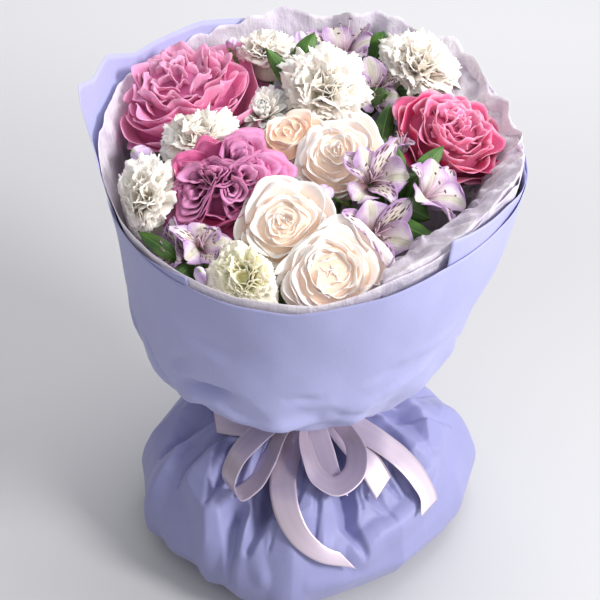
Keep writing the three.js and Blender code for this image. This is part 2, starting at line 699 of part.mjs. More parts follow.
for (const plant of plants) {
  add(`${plant.name}_petals`, plant.petals(), plant.colour, 0.75);
  add(`${plant.name}_stem`, fuse([stemRod(stemOf(plant.name)), plant.calyx()]), 0x5f8a3c, 0.6);
}

// A flower stalk from the fork to just below the foot of a flower or bud.
function stalk(fork, head, footHeight) {
  const { axis } = head;
  const foot = head.place(0, 0, footHeight).addScaledVector(axis, -CLEAR);
  const middle = fork.clone().lerp(foot, 0.55).addScaledVector(axis, -5);
  const start = fork.clone().add(vec(0, 0, -4));
  const toward = middle.clone().sub(start).normalize();
  return rod([
    { at: start, facing: toward, radius: 1.3 },
    { at: middle, facing: foot.clone().sub(start).normalize(), radius: 1.2 },
    { at: foot, facing: axis, radius: 1.3 },
  ], 5);
}

for (const spray of SPRAYS) {
  const fork = vec(...spray.fork);
  const stalks = [
    ...spray.heads.map((head) => stalk(fork, head, FOOT * head.radius)),
    ...spray.budHeads.map((head) => stalk(fork, head, -head.radius)),
  ];
  const from = fork.clone().add(vec(0, 0, -2));
  const leaves = spray.leaves.map(({ by, tip, width }, i) =>
    leaf({ from, by: vec(...by), tip: vec(...tip), width }, spray.leafHeads[i]));
  add(`${spray.name}_green`, fuse([stemRod(stemOf(spray.name)), ...stalks, ...leaves]), 0x4f7f35, 0.6);
  spray.heads.forEach((head) => add(head.name, alstroemeriaFlower(head), LILAC, 0.7));
  spray.budHeads.forEach((head) => add(head.name, bud(head), LILAC, 0.7));
}

// ---------------------------------------------------------------- twine and ribbon

// A band round the waist, from its inner to its outer radius.
function hoop(inner, outer, low, high, sides) {
  const ring = (r, z) => range(sides).map((i) => polar(0, (2 * PI * i) / sides, r, z));
  return closedBand([ring(outer, low), ring(outer, high), ring(inner, high), ring(inner, low)]);
}

const TWINE_INNER = 2 * STEM_RING + STEM.rose + 0.6;
const TWINE = 3;
add('binding_twine', hoop(TWINE_INNER, TWINE_INNER + TWINE, 132, 142, 16), 0xc9b48a, 0.9);

const BAND = { inner: SKIRT_NECK.radius + CLEAR + 0.3, low: 129.5, high: 143 };
BAND.outer = BAND.inner + RIBBON.thickness;
add('ribbon_band', hoop(BAND.inner, BAND.outer, BAND.low, BAND.high, SKIRT_SIDES), 0xcdbfd3, 0.35);

// Height of the bag's shoulder over a point, so that the ribbon can lie on it.
function shoulder(x, y) {
  const reach = hypot(x, y);
  let [low, high] = [3, SKIRT_SIDE.length - 1];
  while (high - low > 1e-6) {
    const level = (low + high) / 2;
    const { x: px, y: py } = skirtPoint(atan2(y, x), level);
    if (hypot(px, py) > reach) low = level;
    else high = level;
  }
  return skirtPoint(atan2(y, x), low).z;
}

// A flat ribbon along points; each point says which way the ribbon's width runs.
function strip(points, rows) {
  const middle = new THREE.CatmullRomCurve3(points.map(({ at }) => at));
  const wide = new THREE.CatmullRomCurve3(points.map(({ width }) => width));
  return blade((u, v) => {
    const across = wide.getPoint(v).normalize();
    return middle.getPoint(v).addScaledVector(across, (u * RIBBON.width) / 2);
  }, 1, rows, RIBBON.thickness);
}

// A tail lies on the bag: points give its middle line from above and its height over the paper there.
// It is gathered narrow at the knot, and stays over the pleats.
const TAIL_LIFT = 4.6;

function tail(line, rows) {
  const curve = new THREE.CatmullRomCurve3(line.map(([x, y, lift]) => vec(x, y, shoulder(x, y) + lift)));
  return blade((u, v) => {
    const at = curve.getPoint(v);
    const out = vec(at.x, at.y, hypot(at.x, at.y) * 0.9).normalize();
    const across = curve.getTangent(v).cross(out).normalize();
    const gather = 0.25 + 0.75 * THREE.MathUtils.smoothstep(v, 0, 0.3);
    at.addScaledVector(across, (u * gather * RIBBON.width) / 2);
    at.z = max(at.z, shoulder(at.x, at.y) + TAIL_LIFT);
    return at;
  }, 1, rows, RIBBON.thickness);
}

const KNOT = vec(0, -BAND.outer - 6.7, 137);
const knot = new THREE.SphereGeometry(1, 7, 5).deleteAttribute('normal').deleteAttribute('uv');
knot.scale(12, 6.4, 8).translate(KNOT.x, KNOT.y, KNOT.z);

const loopLeft = strip([
  { at: vec(-6, -37, 143), width: vec(-0.5, 0.3, 0.6) },
  { at: vec(-38, -60, 137), width: vec(-0.6, 0.4, 0.6) },
  { at: vec(-60, -80, 129), width: vec(-0.7, 0.3, 0.6) },
  { at: vec(-70, -100, 116), width: vec(-0.8, -0.1, 0.6) },
  { at: vec(-60, -113, 112), width: vec(-0.6, -0.5, 0.6) },
  { at: vec(-42, -102, 120), width: vec(-0.6, -0.1, 0.7) },
  { at: vec(-20, -64, 133), width: vec(-0.7, 0.2, 0.5) },
  { at: vec(-5, -38, 138), width: vec(-0.5, 0.2, 0.4) },
], 9);
const loopRight = strip([
  { at: vec(4, -38, 141), width: vec(0.8, 0, 0.4) },
  { at: vec(5, -66, 134), width: vec(0.9, 0.1, 0.3) },
  { at: vec(8, -94, 126), width: vec(0.8, -0.3, 0.3) },
  { at: vec(26, -116, 118), width: vec(0.5, -0.7, 0.3) },
  { at: vec(46, -92, 126), width: vec(0.8, -0.3, 0.4) },
  { at: vec(34, -58, 137), width: vec(0.8, -0.1, 0.4) },
  { at: vec(8, -37, 142), width: vec(0.7, 0, 0.4) },
], 9);
const tails = [
  tail([[-3, -38, 10], [-17, -62, 6], [-22, -92, 4], [-18, -125, 4], [-4, -144, 4], [24, -150, 5]], 7),
  tail([[9, -35, 11], [36, -50, 8], [62, -60, 5], [84, -76, 4], [100, -90, 4], [108, -98, 5]], 6),
  tail([[9, -36, 6], [38, -62, 4], [56, -82, 4], [70, -98, 4]], 3),
  tail([[3, -38, 7], [14, -70, 4], [22, -100, 4], [27, -120, 4]], 3),
  tail([[-9, -35, 8], [-36, -42, 5], [-62, -36, 4], [-88, -26, 4]], 3),
];
add('ribbon_bow', fuse([knot, loopLeft, loopRight, ...tails]), 0xcdbfd3, 0.35);

export default bouquet;
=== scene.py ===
"""A mixed bouquet of roses, carnations and alstroemerias in a lilac paper wrap, tied with a satin bow.

Every surface is worked out with numpy in millimetres, in the frame's own axes: +Z up, -Y the front.
An azimuth is in degrees round the upright axis: 0 is the right, -90 the front, 90 the back.
"""

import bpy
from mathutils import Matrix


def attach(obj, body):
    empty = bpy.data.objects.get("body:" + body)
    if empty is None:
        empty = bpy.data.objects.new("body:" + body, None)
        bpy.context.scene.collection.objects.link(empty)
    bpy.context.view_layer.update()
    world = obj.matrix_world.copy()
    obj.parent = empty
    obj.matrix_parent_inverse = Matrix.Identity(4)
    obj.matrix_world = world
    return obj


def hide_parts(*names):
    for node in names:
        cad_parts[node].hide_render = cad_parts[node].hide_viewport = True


bl_info = {
    "name": "Mixed flower bouquet",
    "version": (1, 0, 0),
    "blender": (4, 5, 0),
    "location": "View3D > Sidebar > Bouquet",
    "description": "Dresses a bouquet's frame with paper, tissue, ribbon, petals, leaves and stems",
    "category": "Add Mesh",
}

from math import pi, radians

import bpy
import numpy as np
from mathutils import Matrix, Vector

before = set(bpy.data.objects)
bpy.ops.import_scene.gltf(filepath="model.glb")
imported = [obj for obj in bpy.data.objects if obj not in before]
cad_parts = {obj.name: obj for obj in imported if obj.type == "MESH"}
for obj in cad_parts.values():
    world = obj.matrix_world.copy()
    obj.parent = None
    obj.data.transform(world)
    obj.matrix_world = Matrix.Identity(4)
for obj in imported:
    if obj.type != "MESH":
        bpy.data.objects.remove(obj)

MM = 0.001
GOLDEN = pi * (3 - 5 ** 0.5)

# ------------------------------------------------------------------ the paper cup and its tissue

CUP_X = 5.0               # the cup's axis, above the waist
WAIST_TOP = 144.0
# radius and height from the waist to the belly, from where the wall runs straight up to the rim
CUP_SIDE = [(22, 128), (22, 142), (27, 151), (42, 158), (70, 165), (98, 174), (121, 188), (136, 207),
            (143, 228)]
BELLY_R, BELLY_Z = CUP_SIDE[-1]
WALL_SLOPE = 0.14
WALL_ROOM = 6.5           # from the wall to the nearest petal
BELLY_LEAN = 10.0         # how far the belly hangs to the left; its right side is pushed in by 0.7 of it
SHEET_STEP = 1.5          # from one layer's middle to the next one's
TISSUE_THICKNESS = 0.18

# azimuth and height of each rim's corners
FRONT_EDGES, BACK_EDGES = (-165, 15), (-57, 236)
FRONT_RIM = [(-165, 350), (-150, 346), (-131, 335), (-111, 329), (-96, 327), (-75, 338), (-60, 349),
             (-30, 361), (15, 366)]
BACK_RIM = [(-57, 370), (-36, 372), (-9, 362), (11, 364), (27, 376), (62, 402), (96, 410), (123, 419),
            (148, 412), (158, 421), (167, 413), (177, 420), (183, 402), (192, 378), (207, 340)]
TISSUE_RIM = [(-180, 384), (-150, 352), (-111, 334), (-90, 333), (-60, 356), (-36, 379), (0, 376),
              (27, 396), (62, 420), (96, 420), (123, 408), (155, 400), (180, 384)]
ROLL_EDGES = (-74, 40)    # the azimuths between which the tissue is rolled over inwards
ROLL_SHARES = [0, 0.3, 0.45, 0.6, 1]
ROLL_INSETS = [6.5, 5.5, 7.0, 12.0, 15.0]
ROLL_HEIGHTS = [-48, -7, 2.5, -2.5, -9]

# the front sheet's dents: azimuth and share up the cup, half width and height, depth inwards
FRONT_DENTS = [(-119, 1.04, 8, 0.07, 3.4), (-113, 1.56, 10, 0.16, 2.2), (-132, 1.45, 8, 0.3, -1.6),
               (-88, 0.95, 8, 0.06, 2.0), (-60, 0.96, 8, 0.07, 1.6), (-52, 1.15, 6, 0.1, -1.6)]
# its creases: azimuth and share of both ends, half width, depth inwards
FRONT_CREASES = [
    ((-131, 1.02), (-112, 1.09), 10, 6.0), ((-135, 0.92), (-119, 0.97), 10, -5.0),
    ((-119, 0.97), (-108, 0.88), 9, -4.6), ((-108, 0.88), (-88, 0.88), 8, -3.2),
    ((-124, 0.90), (-106, 0.82), 8, 5.0), ((-106, 0.82), (-80, 0.82), 8, 2.6),
    ((-129, 1.60), (-114, 1.50), 12, 1.6), ((-136, 1.1), (-126, 1.35), 9, 2.0),
    ((-80, 0.94), (-64, 0.87), 6, 2.8), ((-50, 1.16), (-63, 1.05), 8, -2.6),
    ((-63, 1.05), (-74, 0.95), 8, -2.0), ((-44, 1.4), (-60, 1.3), 10, -1.8),
    ((-60, 1.3), (-70, 1.22), 9, 1.6), ((-94, 1.12), (-86, 1.14), 8, 1.6),
    ((-150, 1.2), (-142, 0.9), 8, 3.0), ((-30, 1.3), (-22, 0.9), 12, 3.0), ((-8, 1.2), (-4, 0.75), 10, 3.4),
]

# ------------------------------------------------------------------ the paper bag

BAG_X = -4.0              # the middle of its foot
BAG_OUTLINE = [(-180, 158), (-158, 157), (-126, 155), (-112, 162), (-95, 160), (-56, 146), (-22, 153),
               (0, 160), (25, 147), (60, 142), (100, 141), (140, 144), (180, 158)]
# share of the outline's radius, and height, at the levels 0 to 8; levels 9 and 10 are the neck
BAG_SIDE = [(0.73, 0), (0.86, 4), (0.965, 20), (1, 44), (0.93, 72), (0.79, 92), (0.6, 109), (0.38, 121),
            (0.21, 128)]
BAG_RIDGE = 5             # the level where the bag's top turns down into its side
BAG_NECK = (24.2, 142.0)  # radius and height of its upper end
NECK_FOOT = 134.0
FLOOR_GAP = 0.35          # from the floor to the middle of the paper
# painted shade: the bag's paper is the cup's colour times these shares, darker and bluer for the shade under
# the cup and in its folds
BAG_SHADE_FACTORS = (0.67, 0.67, 0.74)
# azimuth and level of each crease's corners, its half width and its depth
BAG_VALLEYS = [
    ([(172, 7.0), (-172, 5.6), (-164, 4.5)], 26, 26),
    ([(-143, 7.6), (-139, 6.4), (-134, 5.6), (-130, 4.6)], 24, 24),
    ([(-112, 7.4), (-110, 6.4), (-108, 5.3), (-110, 4.1)], 26, 28),
    ([(-119, 4.9), (-116, 4.0), (-115, 2.9)], 14, 14),
    ([(-72, 7.0), (-73, 5.6), (-75, 4.6), (-71, 3.6)], 20, 25),
    ([(-34, 7.2), (-33, 6.2), (-38, 5.0)], 18, 16), ([(8, 7.0), (14, 5.6), (22, 4.2)], 20, 18),
    ([(-55, 6.8), (-52, 5.8), (-50, 4.7)], 14, 11), ([(-93, 7.1), (-92, 6.2), (-97, 5.0)], 14, 10),
    ([(45, 7.4), (50, 5.6), (48, 3.8)], 24, 24), ([(88, 7.4), (84, 5.8), (90, 3.7)], 24, 26),
    ([(124, 7.4), (130, 5.6), (127, 3.9)], 23, 23), ([(66, 6.6), (68, 4.8)], 16, 14),
    ([(106, 6.6), (109, 4.6)], 16, 14), ([(148, 7.0), (152, 5.4), (149, 3.9)], 20, 18),
    ([(27, 7.2), (31, 5.6)], 14, 11), ([(-61, 5.2), (-57, 4.2)], 9, 6), ([(-44, 5.4), (-47, 4.3)], 9, 6),
    ([(-127, 7.2), (-125, 6.0), (-121, 4.7)], 11, 10), ([(-101, 7.0), (-101, 5.6), (-103, 4.2)], 10, 8),
    ([(-84, 7.1), (-85, 5.8), (-88, 4.4)], 11, 9), ([(-64, 7.0), (-66, 5.8), (-67, 4.9)], 10, 8),
    ([(-155, 7.2), (-152, 5.8), (-147, 4.4)], 13, 10), ([(-15, 7.0), (-12, 5.9), (-6, 4.8)], 12, 9),
]
BAG_CRESTS = [
    ([(-71, 3.6), (-64, 3.9), (-52, 4.0), (-40, 4.1), (-31, 4.4), (-25, 4.7), (-11, 5.6), (5, 6.2)],
     17, 10.0),
    ([(180, 6.2), (-164, 5.3), (-156, 4.5), (-155, 3.9), (-155, 2.0)], 24, 10.0),
    ([(-143, 5.6), (-141, 4.9), (-129, 4.5), (-125, 3.8), (-125, 1.8)], 20, 10.0),
    ([(-20, 6.6), (-28, 5.9), (-31, 4.4)], 12, 5.5), ([(-98, 5.8), (-96, 4.4), (-97, 2.0)], 26, 7.5),
    ([(-90, 3.2), (-76, 2.9), (-50, 2.6), (-25, 2.4)], 14, 3.0),
    ([(-88, 6.6), (-84, 5.4), (-85, 4.2)], 12, 5.0), ([(-126, 6.8), (-122, 5.7), (-104, 3.4)], 16, 6.0),
    ([(-62, 6.4), (-63, 5.4), (-58, 4.4)], 10, 4.5), ([(36, 6.4), (38, 5.0), (40, 2.0)], 22, 8.0),
    ([(70, 5.4), (72, 2.0)], 24, 7.0), ([(110, 5.6), (112, 2.0)], 24, 7.0),
    ([(138, 6.0), (142, 2.0)], 22, 8.0), ([(160, 5.8), (166, 2.0)], 22, 7.0),
    ([(4, 4.6), (6, 1.8)], 22, 7.0), ([(-140, 2.6), (-146, 0.8)], 18, 4.0),
]

# ------------------------------------------------------------------ the tie, the ribbon and its bow

TWINE_FOOT, TWINE_RISE = 132.0, 10.0
TWINE_R, TWINE_RIDGE, TWINE_TURNS = 14.3, 1.3, 5
TWINE_THICKNESS = 0.8
RIBBON_WIDTH = 25.0
RIBBON_THICKNESS = 0.3
BAND_HEIGHTS = (129.8, 143.0)
BAND_R = BAG_NECK[0] + 1.6
KNOT_AT = np.array([0.0, -32.5, 137.0])
KNOT_HALF = (12.0, 6.4, 8.0)
# each loop's stations: place, direction of the ribbon's width, share of its width
LOOPS = {
    "ribbon_loop_left": [
        ((-6, -37, 143), (0.4, -0.6, 0.6), 0.5), ((-24, -48, 138), (0.55, -0.7, 0.3), 0.85),
        ((-50, -68, 130), (0.57, -0.78, 0.1), 1), ((-63, -87, 125), (0.53, -0.80, 0.21), 1),
        ((-68, -100, 114), (0.46, -0.82, 0.27), 1), ((-62, -108, 108), (0.39, -0.86, 0.26), 1),
        ((-48, -101, 112), (0.40, -0.87, 0.24), 1), ((-36, -82, 120), (0.43, -0.84, 0.28), 1),
        ((-24, -58, 129), (0.36, -0.80, 0.45), 0.9), ((-6, -38, 138), (0.4, -0.5, 0.6), 0.5)],
    "ribbon_loop_right": [
        ((2, -38, 140), (-0.5, -0.5, 0.6), 0.5), ((-4, -60, 130), (-0.45, -0.75, 0.48), 0.85),
        ((-1, -84, 127), (-0.5, -0.78, 0.36), 0.85), ((7, -103, 121), (-0.4, -0.9, 0.15), 0.85),
        ((20, -110, 118), (0.1, -1.0, 0.0), 0.9), ((35, -100, 121), (0.6, -0.8, 0.1), 0.9),
        ((39, -80, 129), (0.75, -0.6, 0.25), 0.95), ((30, -60, 134), (0.7, -0.5, 0.45), 0.95),
        ((8, -38, 142), (0.6, -0.3, 0.6), 0.5)],
}
# each tail's stations: x, y and how far it lies above the bag, share of its width; then the slant of its end
TAILS = {
    "ribbon_tail_centre": ([(-3, -38, 9, 0.5), (-17, -58, 10, 0.86), (-23, -87, 10, 0.9),
                            (-24, -112, 8, 0.9), (-20, -130, 6, 0.84), (-10, -143, 5, 0.72),
                            (6, -149, 5, 0.56), (30, -146, 6, 0.38)], 9.0),
    "ribbon_tail_right": ([(9, -35, 10, 0.4), (44, -50, 7, 0.84), (61, -61, 5, 0.88), (81, -72, 5, 0.88),
                           (94, -81, 5, 0.82), (102, -92, 5, 0.72), (101, -101, 5, 0.78)], 7.0),
    "ribbon_tail_short": ([(9, -36, 6, 0.5), (36, -60, 6, 0.9), (50, -78, 6, 0.95), (62, -94, 5, 0.95)], 5.0),
    "ribbon_tail_middle": ([(3, -38, 6, 0.55), (10, -70, 3, 0.85), (15, -94, 3, 0.85),
                            (19, -112, 3, 0.85)], -6.0),
    "ribbon_tail_left": ([(-9, -35, 7, 0.5), (-38, -42, 6, 0.95), (-62, -35, 7, 1), (-84, -26, 8, 1)], 6.0),
}

# ------------------------------------------------------------------ where the flowers are

# middle of the bloom, radius, lean from upright and the azimuth that it leans to
HEADS = {
    "rose_pink_large": ((-94, 54, 394), 59, 14, -110),
    "rose_pink_quartered": ((-65, -56, 370), 39, 46, -98),
    "rose_crimson": ((110, 2, 379), 43, 28, -50),
    "rose_blush_left": ((-16, -88, 355), 38, 46, -95),
    "rose_blush_front": ((15, -121, 338), 40, 50, -85),
    "rose_blush_back": ((22, -33, 380), 33, 36, -100),
    "rose_peach": ((-13, -4, 379), 29, 30, -110),
    "carnation_back": ((-32, 100, 402), 28, 8, 100),
    "carnation_top": ((14, 46, 394), 36, 38, -90),
    "carnation_right": ((93, 90, 393), 35, 28, -60),
    "carnation_left": ((-117, -50, 355), 32, 48, -140),
    "carnation_cream": ((-43, -118, 332), 30, 50, -105),
    "carnation_middle": ((-80, -4, 380), 32, 26, -130),
    "chrysanthemum": ((-34, 36, 384), 28, 28, -100),
    "alstroemeria_back_flower_1": ((35, 132, 408), 29, 12, -100),
    "alstroemeria_back_flower_2": ((60, 62, 391), 28, 52, -70),
    "alstroemeria_centre_flower_1": ((48, -64, 383), 29, 40, -80),
    "alstroemeria_centre_flower_2": ((51, -99, 356), 29, 50, -70),
    "alstroemeria_centre_flower_3": ((96, -60, 371), 28, 40, -20),
    "alstroemeria_centre_flower_4": ((70, -14, 384), 17, 12, 120),
    "alstroemeria_left_flower_1": ((-104, -92, 338), 26, 56, -160),
    "alstroemeria_left_flower_2": ((-72, -98, 351), 23, 38, -60),
    "alstroemeria_back_bud_1": ((80, 128, 399), 11, 15, 60),
    "alstroemeria_centre_bud_1": ((12, -66, 368), 10, 48, -120),
    "alstroemeria_left_bud_1": ((-75, -119, 334), 10, 40, -110),
    "alstroemeria_bud_pair_bud_1": ((-124, -6, 368), 11, 50, -140),
    "alstroemeria_back_left_bud_1": ((-4, 128, 402), 11, 20, 90),
    "alstroemeria_back_left_bud_2": ((-60, 104, 412), 9, 20, 20),
}
# how far each bloom pushes the boundary with its neighbours outwards
PUSH = {"rose_blush_front": 4.0, "rose_blush_left": 2.0, "rose_pink_large": 2.0, "rose_pink_quartered": -1.0,
        "carnation_middle": 4.0, "chrysanthemum": 3.0, "carnation_left": 2.0, "carnation_top": 1.0,
        "alstroemeria_centre_flower_2": 1.0}
# where each spray's stem divides
FORKS = {
    "alstroemeria_back": (46, 104, 338),
    "alstroemeria_centre": (66, -50, 328),
    "alstroemeria_left": (-82, -76, 300),
    "alstroemeria_bud_pair": (-104, -12, 332),
    "alstroemeria_back_left": (-8, 76, 343),
}
# a point on each leaf's midrib, its tip and its width
LEAVES = {
    "alstroemeria_back": [((60, 108, 402), (66, 112, 419), 15), ((28, 104, 396), (12, 92, 414), 12),
                          ((50, 76, 374), (64, 52, 390), 15), ((72, 84, 378), (90, 58, 388), 14),
                          ((38, 84, 382), (40, 66, 399), 12), ((22, 86, 380), (6, 74, 398), 12)],
    "alstroemeria_centre": [((66, -38, 360), (66, -30, 385), 13), ((70, -62, 352), (86, -76, 352), 15),
                            ((80, -40, 364), (101, -24, 383), 13), ((68, -40, 366), (58, -12, 384), 11),
                            ((60, -78, 350), (92, -94, 344), 13), ((84, -48, 356), (112, -44, 362), 11),
                            ((52, -52, 360), (78, -60, 378), 12), ((58, 4, 366), (65, 30, 393), 14)],
    "alstroemeria_left": [((-96, -96, 336), (-122, -78, 346), 11), ((-84, -104, 330), (-94, -116, 328), 10)],
    "alstroemeria_bud_pair": [((-112, -10, 362), (-128, -28, 366), 9)],
    "alstroemeria_back_left": [((-4, 78, 400), (8, 92, 427), 18), ((-9, 56, 392), (-31, 67, 424), 13)],
}
CARNATION_PETALS, CHRYSANTHEMUM_PETALS = 52, 74
LEAF_THICKNESS, TEPAL_THICKNESS = 0.4, 0.35
UP = np.array([0.0, 0.0, 1.0])
# from the middle of a bloom down to its neck, as a share of its radius
NECKS = {"rose": 0.7, "carnation": 0.6, "chrysanthemum": 0.42}
# the heights at which the frame's stems have their rings below the flowers
STEM_RINGS = (1.3, 130.0, 144.0, 184.0, 230.0, 276.0)

# ------------------------------------------------------------------ how the roses are filled

# rows: petals, radius of the rim, its height, its outward roll, half a petal's width in radians, turn; all
# lengths are shares of the bloom's radius, which swell changes
# ruffles: petals, reach, height at the middle, width; quarters: sectors, petals nested in each, reach, scale,
# height at the middle
# deep: where along a petal the tint of its depths, the petals' own warmer base and painted shade of the
# crevices, begins to fade and is gone; outer_deep: the same for the rows
# core: rows under which the packed middle lies; shift: how far the heart lies off the middle
ROSES = {
    "rose_pink_large": dict(
        look="pink_lilac_rose", slot="pink_petal", seed=3, wave=0.055, ruffles=(26, 0.42, 0.30, 0.9),
        core=[(1, 1.0, -0.12), (1, 0.8, 0.08), (1, 0.1, 0.24)], deep=(0.4, 0.9), outer_deep=(0.15, 0.7),
        shift=(-0.16, 0.26, 0.06), rows=[
            (3, 1.20, -0.20, 0.16, 0.95, -2.2), (3, 1.18, -0.04, 0.06, 1.05, -1.2),
            (3, 1.02, 0.02, 0.05, 1.05, 0.35), (6, 0.84, 0.09, 0.08, 0.55, 0.1),
            (7, 0.74, 0.17, 0.07, 0.52, 0.5), (7, 0.65, 0.22, 0.06, 0.5, 0.2),
            (6, 0.56, 0.26, 0.05, 0.55, 0.8), (6, 0.45, 0.28, 0.04, 0.5, 0.1)]),
    "rose_pink_quartered": dict(
        look="pink_quartered_rose", slot="pink_petal", seed=25, wave=0.04, quarters=(5, 6, 0.42, 1.16, 0.36),
        core=[(1, 1.0, -0.14), (1, 0.6, 0.0), (1, 0.1, 0.12)], deep=(0.35, 0.85), outer_deep=(0.0, 0.35),
        shift=(0.10, 0.14, 0.04), rows=[
            (3, 1.08, -0.04, 0.09, 0.80, -1.9), (4, 1.0, 0.06, 0.05, 0.84, 0.6),
            (5, 0.92, 0.15, 0.03, 0.80, 0.3), (7, 0.82, 0.20, 0.05, 0.5, 0.7)]),
    "rose_crimson": dict(
        look="crimson_rose", slot="crimson_petal", seed=8, wave=0.045, ruffles=(24, 0.40, 0.32, 0.95),
        core=[(1, 1.0, -0.08), (1, 0.7, 0.12), (1, 0.1, 0.24)], deep=(0.4, 0.9), shift=(0.06, 0.16, 0.04),
        rows=[
            (4, 1.02, -0.10, 0.14, 0.80, 0.8), (4, 1.00, 0.0, 0.08, 0.85, 0.2),
            (4, 0.90, 0.07, 0.07, 0.85, 0.7), (5, 0.79, 0.15, 0.07, 0.75, 0.1),
            (5, 0.68, 0.21, 0.06, 0.72, 0.6), (5, 0.57, 0.26, 0.05, 0.7, 0.2),
            (5, 0.46, 0.30, 0.04, 0.7, 0.9)]),
    "rose_blush_left": dict(
        look="blush_rose", slot="blush_petal", seed=11, wave=0.045, swell=0.97, deep=(0.45, 0.9), rows=[
            (3, 1.05, 0.00, 0.12, 1.15, 0.0), (4, 0.90, 0.10, 0.12, 1.0, 0.6),
            (4, 0.72, 0.18, 0.11, 1.0, 1.3), (4, 0.55, 0.23, 0.08, 1.05, 0.2),
            (3, 0.42, 0.26, 0.06, 1.2, 0.9), (4, 0.30, 0.27, 0.05, 1.0, 0.2),
            (3, 0.20, 0.27, 0.04, 1.0, 1.1), (3, 0.12, 0.26, 0.03, 1.0, 0.4),
            (2, 0.05, 0.24, 0.02, 1.2, 0.9)]),
    "rose_blush_front": dict(
        look="blush_rose", slot="blush_petal", seed=14, wave=0.04, swell=0.99, deep=(0.45, 0.9),
        ruffles=(15, 0.26, 0.24, 0.85), rows=[
            (3, 1.06, -0.02, 0.12, 1.15, 0.2), (4, 0.94, 0.08, 0.11, 1.0, 0.9),
            (4, 0.79, 0.16, 0.10, 1.0, 1.5), (4, 0.63, 0.21, 0.08, 1.0, 0.3),
            (5, 0.50, 0.24, 0.06, 0.86, 1.0), (4, 0.40, 0.25, 0.05, 1.0, 0.3),
            (4, 0.30, 0.25, 0.04, 0.9, 0.8)]),
    "rose_blush_back": dict(
        look="blush_rose", slot="blush_petal", seed=17, wave=0.045, deep=(0.45, 0.9), rows=[
            (3, 1.05, 0.00, 0.12, 1.15, 0.4), (4, 0.88, 0.12, 0.11, 1.0, 1.0),
            (4, 0.70, 0.22, 0.10, 1.0, 0.2), (4, 0.52, 0.29, 0.07, 1.0, 0.8),
            (3, 0.38, 0.33, 0.06, 1.2, 0.1), (3, 0.26, 0.35, 0.05, 1.2, 0.7),
            (3, 0.15, 0.36, 0.03, 1.3, 1.4), (2, 0.06, 0.36, 0.02, 1.3, 0.3)]),
    "rose_peach": dict(
        look="peach_rose", slot="blush_petal", seed=20, wave=0.045, deep=(0.45, 0.9), rows=[
            (3, 1.08, 0.02, 0.12, 1.15, 0.1), (4, 0.90, 0.20, 0.10, 1.0, 0.8),
            (4, 0.72, 0.34, 0.08, 1.05, 0.3), (3, 0.54, 0.42, 0.06, 1.3, 0.9),
            (3, 0.38, 0.46, 0.04, 1.35, 0.1), (3, 0.24, 0.47, 0.03, 1.4, 1.2),
            (2, 0.11, 0.48, 0.0, 1.6, 0.3)]),
}

# display colours of each look's heart, outer petals, rim, and depths (the petals' warmer base with painted
# shade of the crevices); None is the one that the user chooses
PETAL_LOOKS = {
    "pink_lilac_rose": dict(tints=[(224, 152, 188), None, (236, 164, 194), (190, 70, 130)],
                            rim_share=0.4, vein=0.35, glow=0.4),
    "pink_quartered_rose": dict(tints=[(232, 156, 204), (252, 108, 170), (150, 44, 100), (120, 28, 88)],
                                rim_share=0.7, vein=0.25, rim_from=0.97),
    "crimson_rose": dict(tints=[(240, 142, 182), None, (248, 184, 206), (146, 4, 66)],
                         rim_share=0.6, vein=0.45),
    "blush_rose": dict(tints=[(255, 243, 234), (255, 247, 242), (255, 247, 242), (255, 214, 186)],
                       rim_share=0.4, vein=0.02, glow=0.2, depth=0.003),
    "peach_rose": dict(tints=[(254, 228, 212), (255, 236, 226), (254, 232, 220), (248, 196, 164)],
                       rim_share=0.35, vein=0.05, glow=0.2, depth=0.003),
    "white_carnation": dict(tints=[(250, 242, 230), (251, 244, 234), (252, 244, 236), (250, 234, 208)],
                            rim_share=0.3, vein=0.02, glow=0.2, depth=0.003),
    "cream_carnation": dict(tints=[(250, 244, 210), (252, 246, 230), (250, 238, 212), (236, 230, 168)],
                            rim_share=0.3, vein=0.02, glow=0.2, depth=0.003),
    "white_chrysanthemum": dict(tints=[(252, 246, 236), (252, 248, 250), (248, 242, 248), (226, 214, 196)],
                                rim_share=0.2, vein=0.02, glow=0.6, depth=0.012),
    "filament": dict(tints=[(226, 190, 214)] * 4),
}

# ------------------------------------------------------------------ camera and light

# in millimetres and degrees
CAMERA_AT = (-6.67, -686.67, 720.80)
CAMERA_DOWN = 35.7
CAMERA_ROLL = -0.78
CAMERA_LENS = 60.0
FLOOR_REACH = 6000.0
# in metres and watts: place, point that it faces, size across, power, colour
LIGHTS = {
    "key": ((1.3, -0.75, 1.15), (0.0, 0.0, 0.25), 0.5, 28.0, (1.0, 0.99, 0.97)),
    "top": ((0.4, 0.5, 1.6), (0.0, 0.0, 0.35), 1.2, 11.0, (1.0, 1.0, 1.0)),
}
ROOM_BRIGHT_SIDE = (0.75, 0.1, 0.65)
ROOM_COLOUR = (0.97, 0.97, 1.0, 1.0)
ROOM_STRENGTH = (0.22, 0.92)

# ------------------------------------------------------------------ numbers


def unit(v):
    """The vectors at length 1."""
    return v / np.maximum(np.linalg.norm(v, axis=-1, keepdims=True), 1e-9)


def smooth(x, low, high):
    """0 below low, 1 above high, and 3t^2 - 2t^3 between them."""
    t = np.clip((x - low) / (high - low), 0, 1)
    return t * t * (3 - 2 * t)


def hill(x, middle, half_width):
    """A bell of height 1: e to the minus square of the distance from the middle in half widths."""
    return np.exp(-((x - middle) / half_width) ** 2)


def fold(x):
    """A triangle wave of period 1 that runs from -1 to 1: sharp ridges and sharp valleys."""
    return 4 * np.abs(x - np.floor(x + 0.5)) - 1


